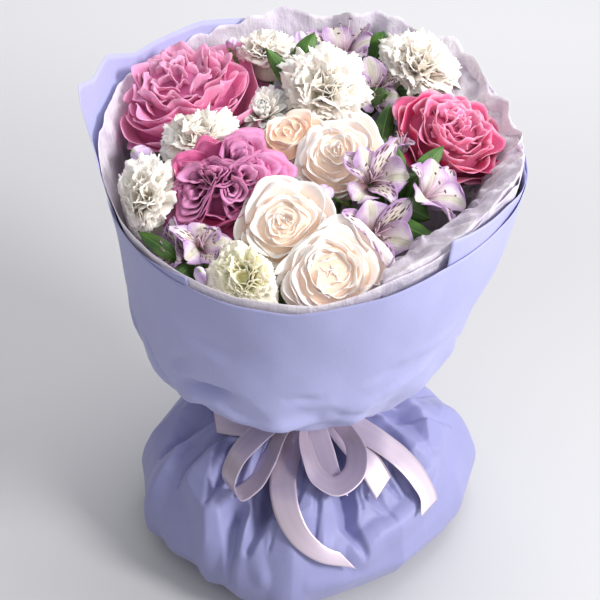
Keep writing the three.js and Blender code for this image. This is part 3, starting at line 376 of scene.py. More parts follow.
def curve(places, values, at):
    """Smooth curve through values at places: a cubic on each stretch, with each point's slope its chord's."""
    x, y = np.asarray(places, float), np.asarray(values, float)
    y = y.reshape(len(x), -1)
    slope = np.gradient(y, x, axis=0)
    at = np.clip(np.asarray(at, float), x[0], x[-1])
    i = np.clip(np.searchsorted(x, at, side="right") - 1, 0, len(x) - 2)
    h = (x[i + 1] - x[i])[..., None]
    t = ((at - x[i]) / (x[i + 1] - x[i]))[..., None]
    a, b = 2 * t ** 3 - 3 * t ** 2 + 1, t ** 3 - 2 * t ** 2 + t
    c, d = -2 * t ** 3 + 3 * t ** 2, t ** 3 - t ** 2
    out = a * y[i] + b * h * slope[i] + c * y[i + 1] + d * h * slope[i + 1]
    return out[..., 0] if out.shape[-1] == 1 else out


def along_corners(corners, degrees):
    """Straight lines between corners given as azimuth and value."""
    return np.interp(degrees, *np.array(corners, float).T)


def path_steps(places):
    """The length of a path from its start up to each of its places."""
    return np.concatenate([[0], np.cumsum(np.linalg.norm(np.diff(places, axis=0), axis=1))])


def turned_degrees(azimuth):
    """The same azimuth between -180 and 180."""
    return (azimuth + 180.0) % 360.0 - 180.0


def crumple(points, size, count, seed):
    """Sum of folded waves in random directions over the points: flat facets that meet in sharp creases."""
    rng = np.random.default_rng(seed)
    ways = unit(rng.normal(size=(count, 3)))
    lengths = size * rng.uniform(0.7, 1.7, count)
    phases = rng.uniform(0, 1, count)
    return sum(fold(points @ w / s + p) for w, s, p in zip(ways, lengths, phases)) / count ** 0.5


def press(reach, limit, firm):
    """Reach as it is up to firm times the limit, then nearing the limit ever more slowly."""
    over = np.maximum(reach - firm * limit, 0)
    spare = (1 - firm) * limit
    return np.where(reach < firm * limit, reach, limit - spare * np.exp(-over / spare))


def round_axis(r, angle, z):
    """Points at radius r, angle in radians and height z about an upright axis."""
    return np.stack(np.broadcast_arrays(r * np.cos(angle), r * np.sin(angle), z), -1)


def turned(out, across, z, turn):
    """Points that lie out from an axis and across from that line, all turned about the axis, at height z."""
    return np.stack(np.broadcast_arrays(out * np.cos(turn) - across * np.sin(turn),
                                        out * np.sin(turn) + across * np.cos(turn), z), -1)


def line_distance(points, start, end):
    """How far points are from a line between two places, and the share along it where they are nearest."""
    start, end = np.array(start, float), np.array(end, float)
    way = end - start
    t = np.clip((points - start) @ way / (way @ way), 0, 1)
    return np.linalg.norm(points - start - t[..., None] * way, axis=-1), t


def ring_angles(count, start=0.0):
    """Angles once round, as a column."""
    return np.linspace(start, start + 2 * pi, count, endpoint=False)[:, None]


# ------------------------------------------------------------------ meshes


def grid_faces(count, nu, nv, closed=False):
    """Quads of count grids of nu by nv points, one after another; closed joins the last u to the first."""
    i, j = np.meshgrid(np.arange(nu if closed else nu - 1), np.arange(nv - 1), indexing="ij")
    n = (i + 1) % nu
    one = np.stack([i * nv + j, n * nv + j, n * nv + j + 1, i * nv + j + 1], -1).reshape(-1, 4)
    return (one[None] + (np.arange(count) * nu * nv)[:, None, None]).reshape(-1, 4)


def make_piece(name, points, faces, material, uv=None, values=None, thickness=0.0, levels=0):
    """A mesh object from points in millimetres, with an optional UV map and named values at its points."""
    mesh = bpy.data.meshes.new(name)
    points = np.asarray(points, float).reshape(-1, 3)
    mesh.from_pydata((points * MM).tolist(), [], faces, shade_flat=False)
    mesh.materials.append(material)
    if uv is not None:
        layer = mesh.uv_layers.new(name="UVMap")
        corners = np.asarray(uv, np.float32).reshape(-1, 2)[np.ravel(faces)]
        layer.data.foreach_set("uv", corners.ravel())
    for key, value in (values or {}).items():
        attribute = mesh.attributes.new(key, "FLOAT", "POINT")
        attribute.data.foreach_set("value", np.asarray(value, np.float32).ravel())
    piece = bpy.data.objects.new(name, mesh)
    bpy.context.scene.collection.objects.link(piece)
    if thickness:
        wall = piece.modifiers.new("thickness", "SOLIDIFY")
        wall.thickness = thickness * MM
        wall.offset = 0.0
        wall.use_even_offset = False
    if levels:
        finer = piece.modifiers.new("smoother", "SUBSURF")
        finer.levels = finer.render_levels = levels
    return piece


def sheets(name, surface, material, thickness, closed=False, values=None, levels=0):
    """One mesh of many like sheets: surface has the shape (sheets, across, along, 3)."""
    count, nu, nv = surface.shape[:3]
    across, along = np.meshgrid(np.linspace(0, 1, nu), np.linspace(0, 1, nv), indexing="ij")
    uv = np.broadcast_to(np.stack([across, along], -1), (count, nu, nv, 2))
    spread = {key: np.broadcast_to(value, (count, nu, nv)) for key, value in (values or {}).items()}
    faces = grid_faces(count, nu, nv, closed).tolist()
    return make_piece(name, surface, faces, material, uv, spread, thickness, levels)


def tube(path, radius, sides):
    """Rings round a path: each lies square to it, turned as little as can be from the one before."""
    path = np.asarray(path, float)
    along = unit(np.gradient(path, axis=0))
    first = unit(np.cross(along, [0.3, 1.0, 0.2]))
    second = np.cross(along, first)
    angle = ring_angles(sides)[..., None]
    radius = np.broadcast_to(np.asarray(radius, float), len(path))[None, :, None]
    return path[None] + radius * (np.cos(angle) * first[None] + np.sin(angle) * second[None])


def capped_tubes(name, tubes, material):
    """Tubes of one count of sides in one mesh, each closed by a point at both ends."""
    points, faces, start = [], [], 0
    for rings in tubes:
        sides, n = rings.shape[:2]
        points += [rings.reshape(-1, 3), rings[:, 0].mean(0)[None], rings[:, -1].mean(0)[None]]
        i = np.arange(sides)
        here, after, end = i * n, (i + 1) % sides * n, np.full(sides, sides * n)
        faces += (grid_faces(1, sides, n, closed=True) + start).tolist()
        faces += (np.stack([here, end, after], -1) + start).tolist()
        faces += (np.stack([here + n - 1, after + n - 1, end + 1], -1) + start).tolist()
        start += sides * n + 2
    return make_piece(name, np.concatenate(points), faces, material)


def place_piece(piece, slot, *nodes):
    """The piece rides on the one body, wears the slot and stands for the frame's nodes."""
    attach(piece, "root")
    if nodes:
        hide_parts(*nodes)


# ------------------------------------------------------------------ shaders


class Signal:
    """A number or colour on its way through a shader. Its operators add Math nodes."""

    def __init__(self, shader, socket):
        self.shader, self.socket = shader, socket

    def math(self, operation, *others):
        """Any Math node, with this signal first."""
        return self.shader.node("Math", {"operation": operation}, dict(enumerate([self, *others])))

    def __add__(self, other):
        return self.math("ADD", other)

    __radd__ = __add__

    def __sub__(self, other):
        return self.math("SUBTRACT", other)

    def __rsub__(self, other):
        return self.shader.node("Math", {"operation": "SUBTRACT"}, {0: other, 1: self})

    def __mul__(self, other):
        return self.math("MULTIPLY", other)

    __rmul__ = __mul__

    def off_middle(self):
        """How far a share across a sheet is from one half."""
        return (self - 0.5).math("ABSOLUTE")


class Shader:
    """A material's node tree, with one method that adds any node and short ones for what is used most."""

    def __init__(self, name):
        self.material = bpy.data.materials.new(name)
        self.material.use_nodes = True
        self.tree = self.material.node_tree
        self.tree.nodes.clear()

    def node(self, kind, settings=None, inputs=None, output=0):
        """A node of any kind: its settings are set first, then its sockets' values or links."""
        node = self.tree.nodes.new("ShaderNode" + kind)
        for key, value in (settings or {}).items():
            setattr(node, key, value)
        for key, value in (inputs or {}).items():
            if isinstance(value, Signal):
                self.tree.links.new(value.socket, node.inputs[key])
            else:
                node.inputs[key].default_value = value
        return Signal(self, node.outputs[output])

    def position(self):
        """The place in the bouquet, in metres."""
        return self.node("TexCoord", output="Object")

    def split(self, vector):
        """The first two parts of a vector."""
        node = self.node("SeparateXYZ", inputs={0: vector}).socket.node
        return Signal(self, node.outputs[0]), Signal(self, node.outputs[1])

    def across_along(self):
        """The shares across and along a sheet, from its UV map."""
        return self.split(self.node("TexCoord", output="UV"))

    def value(self, name):
        """A named value at the mesh's points."""
        return self.node("Attribute", {"attribute_name": name}, output="Fac")

    def noise(self, vector, scale, detail, roughness=0.5, distortion=0.0):
        """Soft noise from 0 to 1, with scale cells to a unit of the vector."""
        return self.node("TexNoise", inputs={"Vector": vector, "Scale": scale, "Detail": detail,
                                             "Roughness": roughness, "Distortion": distortion})

    def scaled(self, vector, scale):
        """The vector, stretched by its own scale along each axis."""
        return self.node("Mapping", {"vector_type": "POINT"}, {"Vector": vector, "Scale": scale})

    def threads(self, scale, detail, roughness=0.5, distortion=0.0):
        """Noise stretched over the UV map: scale counts its cells across and along the sheet."""
        stretched = self.scaled(self.node("TexCoord", output="UV"), (*scale, 1.0))
        return self.noise(stretched, 1.0, detail, roughness, distortion)

    def step(self, value, low, high):
        """0 below low and 1 above high, smooth between them; the other way round where low is above high."""
        return self.node("MapRange", {"interpolation_type": "SMOOTHSTEP"},
                         {"Value": value, "From Min": low, "From Max": high})

    def mix(self, share, a, b):
        """Colour a where share is 0 and b where it is 1."""
        node = self.tree.nodes.new("ShaderNodeMix")
        node.data_type = "RGBA"
        for socket, value in ((node.inputs[0], share), (node.inputs[6], a), (node.inputs[7], b)):
            if isinstance(value, Signal):
                self.tree.links.new(value.socket, socket)
            else:
                socket.default_value = value if isinstance(value, float) else (*value[:3], 1.0)
        return Signal(self, node.outputs[2])

    def finish(self, colour, roughness, bump=None, depth=0.0, glow=None, **constants):
        """The surface: bump is depth millimetres high, and constants go straight on the shader's own sockets.

        glow is the weight, the colour and the reach in metres of the light that passes under the surface.
        """
        inputs = {"Base Color": colour, "Roughness": roughness}
        if bump is not None:
            relief = {"Height": bump, "Distance": depth * MM, "Strength": 1.0}
            inputs["Normal"] = self.node("Bump", inputs=relief)
        if glow:
            inputs.update(zip(("Subsurface Weight", "Subsurface Radius", "Subsurface Scale"), glow))
        inputs.update({key.replace("_", " "): value for key, value in constants.items()})
        surface = self.node("BsdfPrincipled", inputs=inputs)
        output = self.tree.nodes.new("ShaderNodeOutputMaterial")
        self.tree.links.new(surface.socket, output.inputs["Surface"])
        return self.material


def linear(red, green, blue):
    """A colour's linear values from its display values, 0 to 255."""
    c = np.array([red, green, blue]) / 255
    return tuple(float(x) for x in np.where(c <= 0.04045, c / 12.92, ((c + 0.055) / 1.055) ** 2.4))


def shaded(colour, factor, lift=0.0):
    """The colour made darker or lighter by a factor, then lifted, and never above 1."""
    return tuple(min(1.0, factor * c + lift) for c in colour)


def paper_material(name, colour, gloss):
    """Dyed wrapping paper: a faint cloud in the dye, fine fibre, and small soft creases."""
    s = Shader(name)
    p = s.position()
    cloud = s.noise(p, 9.0, 3.0)
    fibre = s.noise(s.scaled(p, (1.0, 1.0, 0.35)), 900.0, 2.0)
    crease = s.noise(p, 38.0, 4.0, 0.45, 0.6)
    tone = s.mix(s.step(cloud * 0.7 + fibre * 0.3, 0.3, 0.7), shaded(colour, 0.93), shaded(colour, 1.05))
    return s.finish(tone, 0.62 - 0.12 * cloud, fibre * 0.05 + crease * 0.35, 0.9, Specular_IOR_Level=gloss,
                    Sheen_Weight=0.12, Sheen_Roughness=0.5)


def tissue_material():
    """White tissue: small soft wrinkles in every direction, slightly lilac in places."""
    s = Shader("white_tissue")
    p = s.position()
    warped = s.noise(p, 26.0, 5.0, 0.6, 1.2)
    long = s.noise(s.scaled(p, (70.0, 70.0, 9.0)), 1.0, 4.0, 0.6, 0.8)
    fine = s.noise(p, 190.0, 3.0, 0.6, 0.8)
    # painted shade: where this is low the white tissue takes a lilac grey, for the shade in its folds and the
    # lilac paper showing through
    pale = s.step(warped * 0.6 + long * 0.4, 0.35, 0.65)
    tone = s.mix(pale, linear(198, 186, 206), linear(232, 226, 234))
    return s.finish(tone, 0.7, warped * 0.9 + long * 0.8 + fine * 0.25, 2.2, (0.2, (1.0, 0.9, 1.0), 0.004),
                    Specular_IOR_Level=0.25)


def satin_material():
    """Satin ribbon: fine threads, long faint bands of sheen, and a denser woven edge."""
    s = Shader("satin_ribbon")
    across, _ = s.across_along()
    threads = s.threads((2.0, 700.0), 1.0)
    bands = s.threads((5.0, 0.8), 2.0)
    edge = s.step(across.off_middle(), 0.45, 0.475)
    # painted sheen: the lighter bands in the colour stand for the satin's sheen
    tone = s.mix(s.step(bands, 0.2, 0.8), linear(196, 180, 196), linear(206, 191, 205))
    tone = s.mix(edge * 0.4, tone, linear(226, 212, 222))
    relief = threads * 0.04 + edge * 0.15 + bands * 0.15
    return s.finish(tone, 0.3 + 0.06 * threads + 0.12 * edge, relief, 0.4, Metallic=0.45, Sheen_Weight=0.1,
                    Sheen_Roughness=0.3, Specular_IOR_Level=0.8)


def petal_material(look, chosen=None):
    """Petals: from the heart's colour to the outer one's by age, rim and depths tinted, with fine veins.

    The look's numbers are how strong the rim and the veins are, how much light passes through and how far,
    and where along the petal the rim's tint begins.
    """
    style = PETAL_LOOKS[look]
    heart, outer, rim, throat_and_shade = (linear(*tint) if tint else tuple(chosen) for tint in style["tints"])
    rim_from = style.get("rim_from", 0.98)
    s = Shader(look)
    across, along = s.across_along()
    age, own, deep = s.value("age"), s.value("own"), s.value("deep")
    patch = s.noise(s.position(), 60.0, 3.0)
    tone = s.mix(s.step(age + patch * 0.3 - 0.15, 0.25, 0.85), heart, outer)
    # painted shade: the deep parts of each petal take the colour of the depths, for the shade between the
    # petals as well as their warmer base
    tone = s.mix(deep, tone, throat_and_shade)
    near_rim = s.step(along + across.off_middle() * 0.3 + patch * 0.1 - deep, rim_from, rim_from + 0.15)
    tone = s.mix(near_rim * style.get("rim_share", 0.5), tone, rim)
    fan = s.threads((26.0, 1.6), 3.0, 0.6, 0.4)
    tone = s.mix(s.step(fan, 0.45, 0.7) * style.get("vein", 0.06), tone, shaded(outer, 0.6))
    tone = s.mix(own * 0.25, tone, shaded(heart, 1.15, 0.08))
    glow = (style.get("glow", 0.3), (1.0, 0.6, 0.55), style.get("depth", 0.006))
    return s.finish(tone, 0.5 + 0.12 * patch, fan * 0.5 + patch * 0.5, 0.3, glow, Specular_IOR_Level=0.3,
                    Sheen_Weight=0.2, Sheen_Roughness=0.4)


def tepal_material():
    """Alstroemeria tepals: white with lilac rims, a yellow-green midrib, dark dashes on the inner three."""
    s = Shader("alstroemeria_tepal")
    across, along = s.across_along()
    inner = s.value("inner")
    side = across.off_middle() * 2.0
    patch = s.noise(s.position(), 90.0, 3.0)
    lilac = s.step(side * 0.8 + along * 0.5 + patch * 0.9, 0.8, 1.55)
    tone = s.mix(lilac, linear(242, 230, 230), linear(186, 146, 198))
    tone = s.mix(s.step(along, 0.5, 0.08) * 0.9, tone, linear(118, 70, 74))
    stripe = s.step(side, 0.34, 0.06) * s.step(along, 0.3, 0.5) * s.step(along, 1.02, 0.8)
    tone = s.mix(stripe * (1.0 - inner) * 0.5, tone, linear(176, 184, 116))
    yellow = s.step(side, 0.9, 0.2) * s.step(along, 0.3, 0.45) * s.step(along, 0.8, 0.55)
    tone = s.mix(yellow * inner * 0.35, tone, linear(238, 220, 160))
    lanes = s.scaled(s.node("TexCoord", output="UV"), (11.0, 5.5, 1.0))
    dash = s.node("TexVoronoi", {"feature": "F1"}, {"Vector": lanes, "Scale": 1.0, "Randomness": 0.8})
    spots = s.step(dash, 0.50, 0.36) * s.step(side, 0.98, 0.85)
    spots = spots * s.step(along, 0.12, 0.24) * s.step(along, 0.96, 0.84)
    tone = s.mix(spots * (inner * 0.88 + 0.06), tone, linear(62, 16, 38))
    veins = s.threads((22.0, 1.2), 3.0)
    tone = s.mix(s.step(veins, 0.45, 0.7) * 0.4, tone, linear(150, 108, 150))
    return s.finish(tone, 0.42, veins, 0.35, (0.3, (1.0, 0.8, 0.9), 0.006), Specular_IOR_Level=0.35)


def bud_material():
    """Closed buds: lilac, darker along the seams, green at the foot and on the tip."""
    s = Shader("alstroemeria_bud")
    _, along = s.across_along()
    patch = s.noise(s.position(), 140.0, 3.0)
    tone = s.mix(s.step(patch, 0.3, 0.7), linear(196, 168, 214), linear(236, 222, 238))
    tone = s.mix(s.value("seam") * 0.5, tone, linear(168, 120, 190))
    tone = s.mix(s.step(along + patch * 0.2, 0.42, 0.12), tone, linear(150, 170, 84))
    tone = s.mix(s.step(along, 0.9, 1.0) * 0.8, tone, linear(140, 158, 76))
    return s.finish(tone, 0.45, patch, 0.3, (0.12, (1.0, 0.7, 0.8), 0.003))


def leaf_material(name, dark, light, gloss):
    """Leaves: long parallel veins, a pale midrib, patches of lighter green."""
    s = Shader(name)
    across, _ = s.across_along()
    patch = s.noise(s.position(), 70.0, 3.0)
    veins = s.threads((34.0, 0.7), 2.0)
    tone = s.mix(s.step(patch * 0.6 + veins * 0.4, 0.35, 0.65), dark, light)
    tone = s.mix(s.step(across.off_middle() * 2.0, 0.09, 0.02) * 0.5, tone, shaded(light, 1.7))
    return s.finish(tone, 0.38, veins, 0.35, (0.08, (0.4, 1.0, 0.2), 0.002), Specular_IOR_Level=gloss)


def stem_material():
    """Stems: green with lengthwise streaks and small pale spots."""
    s = Shader("green_stem")
    p = s.position()
    streak = s.noise(s.scaled(p, (420.0, 420.0, 30.0)), 1.0, 2.0)
    tone = s.mix(s.step(streak, 0.35, 0.65), linear(74, 106, 48), linear(120, 150, 76))
    tone = s.mix(s.step(s.noise(p, 600.0, 2.0), 0.66, 0.74) * 0.4, tone, linear(170, 180, 120))
    return s.finish(tone, 0.45, streak, 0.2)


def twine_material():
    """Twine: twisted tan threads."""
    s = Shader("twine")
    slant = s.scaled(s.node("TexCoord", output="UV"), (90.0, 9.0, 1.0))
    twist = s.node("TexWave", {"wave_type": "BANDS"}, {"Vector": slant, "Scale": 1.0, "Distortion": 2.0})
    return s.finish(s.mix(twist, linear(150, 124, 82), linear(208, 184, 138)), 0.85, twist, 0.4)


# ------------------------------------------------------------------ the cup of paper


def wall_radius(z):
    """Radius of the cup's straight wall at height z."""
    return BELLY_R + WALL_SLOPE * (z - BELLY_Z)


def cup_surface(angle, share, rim, inset):
    """The cup's skin. share 0 to 1 runs from the waist to the belly, 1 to 2 up the straight wall to the rim.

    inset moves it inwards, square to its own profile.
    """
    places = np.linspace(0, 1, len(CUP_SIDE))
    nearby = [np.clip(share + nudge, 0, 1) for nudge in (0, 0.01, -0.01)]
    here, ahead, behind = (curve(places, CUP_SIDE, at) for at in nearby)
    r, z = np.moveaxis(here, -1, 0)
    z = np.where(share > 1, BELLY_Z + (rim - BELLY_Z) * np.clip(share - 1, 0, 1), z)
    r = np.where(share > 1, wall_radius(z), r)
    wall = smooth(share, 0.96, 1.04)
    slope_r = (ahead - behind)[..., 0] * (1 - wall) + WALL_SLOPE * wall
    slope_z = (ahead - behind)[..., 1] * (1 - wall) + wall
    size = np.hypot(slope_r, slope_z)
    low = smooth(z, 150, 205) * (1 - smooth(z, 225, 330))
    axis = CUP_X * smooth(z, WAIST_TOP, BELLY_Z) - BELLY_LEAN * low
    r = r - inset * slope_z / size - 0.7 * BELLY_LEAN * low * np.maximum(np.cos(angle + 0.35), 0) ** 1.5
    return round_axis(r, angle, z + inset * slope_r / size) + axis[..., None] * [1.0, 0.0, 0.0]


def gathers(angle, share, folds, seed):
    """Inward depth of the waist's gathers: uneven sharp folds that open out and fade towards the belly."""
    rng = np.random.default_rng(seed)
    bent = angle + 0.05 * np.sin(3 * angle + rng.uniform(0, 6)) + 0.03 * np.sin(7 * angle + 1)
    height = 0.6 + 0.4 * np.sin(5 * angle + rng.uniform(0, 6))
    swell = smooth(share, 0.1, 0.4) * (1 - smooth(share, 0.5, 1.05))
    pleat = 0.5 + 0.5 * fold(folds * bent / (2 * pi))
    return (0.3 * smooth(share, -0.1, 0.1) + 2.6 * swell) * height * pleat


def cup_sheet(name, edges, rim, inset, columns, relief, material, thickness, flare=None, slant=0.0):
    """A sheet of the cup between two azimuths. Its rim is straight between its corners.

    slant turns its first edge further round towards the waist, and flare leans it outwards.
    """
    share = np.concatenate([np.linspace(0, 1, 44), np.linspace(1, 2, 40)[1:]])[None, :]
    first = edges[0] + slant * (1 - smooth(share, 0.9, 1.5)) * smooth(share, 0.3, 0.9)
    azimuth = first + (edges[1] - first) * np.linspace(0, 1, columns)[:, None]
    top = along_corners(rim, np.linspace(*edges, columns))[:, None]
    depth = relief(np.radians(azimuth), share)
    if flare is not None:
        depth = depth - flare(azimuth, share)
    surface = cup_surface(np.radians(azimuth), share, top, inset + depth)
    return sheets(name, surface[None], material, thickness)


def left_flare(azimuth, share):
    """How far the back sheet's left corner leans out of the cup."""
    return 6.0 * smooth(share, 1.45, 2.0) * smooth(azimuth, 146, 160) * (1 - smooth(azimuth, 178, 190))


def front_creases(points):
    """Depth of the front sheet's creases: each falls off evenly with the distance from a straight line."""
    depth = np.zeros(points.shape[:-1])
    for start, end, width, deep in FRONT_CREASES:
        ends = [cup_surface(np.array(radians(azimuth)), np.array(share), 350.0, 0.0)
                for azimuth, share in (start, end)]
        apart, t = line_distance(points, *ends)
        depth = depth + deep * np.maximum(1 - apart / width, 0) * (0.35 + 0.65 * np.sin(pi * t))
    return depth


def front_relief(angle, share):
    """Inward depth of the front sheet's gathers, soft waves, dents and creases."""
    azimuth = np.degrees(angle)
    waves = 0.9 * np.sin(2.3 * angle + 0.8) + 0.5 * np.sin(5.1 * angle + 2 * share)
    depth = gathers(angle, share, 34, 3) + smooth(share, 0.7, 1.3) * waves
    for where, height, wide, tall, deep in FRONT_DENTS:
        depth = depth + deep * hill(azimuth, where, wide) * hill(share, height, tall)
    plain = cup_surface(angle, share, 350, 0)
    low = (1 - smooth(share, 0.75, 1.25)) * smooth(share, 0.1, 0.5)
    depth = depth + 1.5 * front_creases(plain) + crumple(plain, 60, 6, 5) * (0.5 + 3.4 * low) + 1.8 * low
    return np.maximum(depth, -6.0)


def back_relief(angle, share):
    """Inward depth of the back sheet's gathers and waves; behind the front sheet it keeps clear of it."""
    waves = 0.8 * np.sin(4 * angle + 1.3) + 0.4 * np.sin(9 * angle)
    depth = gathers(angle, share, 46, 9) + smooth(share, 0.8, 1.4) * waves
    crushed = crumple(cup_surface(angle, share, 400, 0), 70, 6, 8) * smooth(share, 0.1, 0.5)
    depth = np.maximum(depth + crushed * (0.45 + 2.0 * (1 - smooth(share, 0.8, 1.3))), -1.0)
    azimuth = turned_degrees(np.degrees(angle))
    behind = (azimuth < FRONT_EDGES[1] + 1) * (azimuth > FRONT_EDGES[0] - 1)
    clear = front_relief(np.radians(azimuth), share) - SHEET_STEP + 0.9
    return np.where(behind, np.maximum(depth, clear), depth)


def build_cup(settings):
    """The two sheets of the paper cup."""
    material = paper_material("lilac_paper", tuple(settings.paper_colour), 0.35)
    thick = settings.paper_thickness / MM
    front = cup_sheet("paper_front_sheet", FRONT_EDGES, FRONT_RIM, 0.0, 190, front_relief, material, thick,
                      slant=24.0)
    back = cup_sheet("paper_back_sheet", BACK_EDGES, BACK_RIM, SHEET_STEP, 290, back_relief, material, thick,
                     left_flare)
    for piece, node, flat in ((front, "paper_cup_front", (0.43, 0.25)), (back, "paper_cup_back", (0.7, 0.3))):
        place_piece(piece, "lilac_paper", node)


def build_tissue(settings):
    """The lining: a crinkled ring, and a second layer rolled over inwards at the front right."""
    material = tissue_material()
    angle = ring_angles(290, -pi)
    azimuth = np.degrees(angle)
    share = np.concatenate([np.linspace(0, 1, 30), np.linspace(1, 2, 56)[1:]])[None, :]
    right, back, left = hill(azimuth, 20, 50), hill(azimuth, 75, 45), hill(azimuth, 135, 40)
    up = smooth(share, 0.9, 1.9)
    top = along_corners(TISSUE_RIM, azimuth)
    plain = cup_surface(angle, share, top, 4.0)
    waves = fold(3.4 * angle + 0.35 * share + 0.2 + 0.3 * np.sin(5 * angle))
    depth = 4.6 + gathers(angle, share, 40, 21) + up * (right * 7.5 + back * 5.0 + 0.8) * (0.5 + 0.5 * waves)
    depth = depth + up * (0.8 + 3.6 * right + 3.2 * back + 2.0 * left) * (1 + crumple(plain, 40, 7, 31))
    ragged = 2.8 * crumple(plain[:, -1:], 30, 5, 4) + 1.2 * crumple(plain[:, -1:], 11, 4, 5)
    top = top + ragged * (0.3 + right + back + 0.6 * left)
    depth = np.maximum(depth - 3.0 * smooth(share, 1.8, 2.0), 3.2)
    paper = np.maximum(front_relief(angle, share), back_relief(angle, share) + SHEET_STEP)
    depth = np.maximum(depth, (paper + 1.3) * (1 - smooth(share, 1.3, 1.6)))
    lining = sheets("tissue_lining_sheet", cup_surface(angle, share, top, depth)[None], material,
                    TISSUE_THICKNESS, closed=True)
    place_piece(lining, "white_tissue", "tissue_lining")

    rolled = sheets("tissue_rolled_sheet", rolled_surface()[None], material, TISSUE_THICKNESS)
    place_piece(rolled, "white_tissue", "tissue_lining")


def rolled_surface():
    """The tissue's rolled part: up the wall, over its rim and down inwards, by a varying amount.

    A smooth curve gives its inset and its height along the way, and crumpling shifts its loose part.
    """
    azimuth = np.linspace(*ROLL_EDGES, 160)[:, None]
    v = np.linspace(0, 1, 60)[None, :]
    rim = along_corners(TISSUE_RIM, azimuth) - 8 * smooth(azimuth, -20, 20)
    low = hill(azimuth, -56, 17)
    inward = 6 + 26 * low + 24 * smooth(azimuth, -40, -12) + 3 * np.sin(0.13 * azimuth)
    inset = curve(ROLL_SHARES, ROLL_INSETS, v) + inward * smooth(v, 0.5, 1.0)
    z = rim + curve(ROLL_SHARES, ROLL_HEIGHTS, v) - (34 - 26 * low) * smooth(v, 0.58, 1)
    plain = round_axis(wall_radius(z) - inset, np.radians(azimuth), z) + [CUP_X, 0.0, 0.0]
    loose = (smooth(v, 0.2, 0.7) * (0.4 + 0.6 * smooth(v, 0.4, 0.9)))[..., None]
    shift = [crumple(plain, 26, 6, 51 + i) + 0.5 * crumple(plain, 11, 5, 61 + i) for i in range(3)]
    return plain + 3.6 * np.stack(shift, -1) * loose


# ------------------------------------------------------------------ the paper bag


def polygon_reach(azimuth, corners):
    """Distance from the middle to the straight side of a polygon, its corners given by azimuth and radius."""
    where, reach = np.array(corners, float).T
    i = np.clip(np.searchsorted(where, azimuth, side="right") - 1, 0, len(where) - 2)
    low, high, at = np.radians(where[i]), np.radians(where[i + 1]), np.radians(azimuth)
    across = reach[i + 1] * np.sin(high - at) + reach[i] * np.sin(at - low)
    return reach[i] * reach[i + 1] * np.sin(high - low) / across


def bag_surface(angle, level, inset=0.0):
    """The bag's skin. level 0 to 8 counts along BAG_SIDE from the bottom's edge up; 9 and 10 are the neck.

    Its side and its top are each a smooth curve and meet in a crease at BAG_RIDGE. inset moves the side
    inwards and the top mostly down.
    """
    profile = np.array([*BAG_SIDE, (BAG_SIDE[-1][0], NECK_FOOT), (BAG_SIDE[-1][0], BAG_NECK[1])], float)
    levels = np.arange(len(profile))
    below = curve(levels[:BAG_RIDGE + 1], profile[:BAG_RIDGE + 1], np.clip(level, 0, BAG_RIDGE))
    above = curve(levels[BAG_RIDGE:], profile[BAG_RIDGE:], np.clip(level, BAG_RIDGE, None))
    share, z = np.moveaxis(np.where((level < BAG_RIDGE)[..., None], below, above), -1, 0)
    azimuth = turned_degrees(np.degrees(angle))
    smooth_outline = curve(*np.array(BAG_OUTLINE, float).T, azimuth)
    outline = 0.3 * smooth_outline + 0.7 * polygon_reach(azimuth, BAG_OUTLINE)
    neck = smooth(level, 7.6, 8.8)
    rise = smooth(level, 2, 5)
    radius = outline * share * (1 - neck) + BAG_NECK[0] * neck - inset * (1 - 0.6 * rise)
    axis = BAG_X * (1 - np.clip(level, 0, 9) / 9)
    return round_axis(radius, angle, z - inset * rise * (1 - neck)) + axis[..., None] * [1.0, 0.0, 0.0]


def bag_creases(points, table, taper):
    """Depth of bent creases of the bag, with flat slanted walls; where two meet the deeper one counts.

    taper is the share of its width and depth that a crease loses from its first point to its last.
    """
    depth = np.zeros(points.shape[:-1])
    for line, width, deep in table:
        azimuths, levels = np.array(line, float).T
        places = bag_surface(np.radians(azimuths), levels)
        for i, (start, end) in enumerate(zip(places, places[1:])):
            apart, t = line_distance(points, start, end)
            left = 1 - taper * (i + t) / (len(places) - 1)
            depth = np.maximum(depth, deep * left * np.maximum(1 - apart / (width * left), 0))
    return depth


def bag_skin(columns=384, rows=116):
    """The bag's creased skin: pleats and crests, flat facets on its top, and gathers at the neck.

    The grid is denser at the front, where angle = t - 0.4 cos t, and on the top.
    """
    angle = ring_angles(columns, -pi)
    angle = angle - 0.4 * np.cos(angle)
    level = curve([0, 0.2, 0.86, 1], [0.0, 3.4, 7.6, 10.0], np.linspace(0, 1, rows))[None, :]
    plain = bag_surface(angle, level)
    top = smooth(level, 3.8, 5.2) * (1 - smooth(level, 7.2, 8.6))
    crinkled = 0.35 + 0.65 * hill(np.degrees(angle), -45, 30)
    facets = 6.5 * crumple(plain, 90, 4, 40) + 3.0 * crinkled * crumple(plain, 34, 4, 41)
    side = 2.6 * crumple(plain, 100, 4, 42) + 0.4 * crumple(plain, 40, 4, 43)
    depth = 1.25 * bag_creases(plain, BAG_VALLEYS, 0.8) - bag_creases(plain, BAG_CRESTS, 0.3)
    depth = depth * (1 - 0.8 * smooth(level, 6.8, 8.6)) + top * facets + (1 - top) * side - 2.0 * top
    quiet = smooth(level, 0.2, 2.0) * (1 - smooth(level, 8.0, 9.0))
    fine = fold(angle * 33 / (2 * pi) + 0.5 * np.sin(4 * angle) + 0.3 * np.sin(9 * angle))
    gathered = smooth(level, 5.4, 7.0) * (1 - 0.75 * smooth(level, 7.4, 8.8)) * (2.6 * fine + 1.5)
    surface = bag_surface(angle, level, np.maximum(depth * quiet, -11.0) + gathered)
    surface[..., 2] = np.maximum(surface[..., 2], FLOOR_GAP)
    return surface


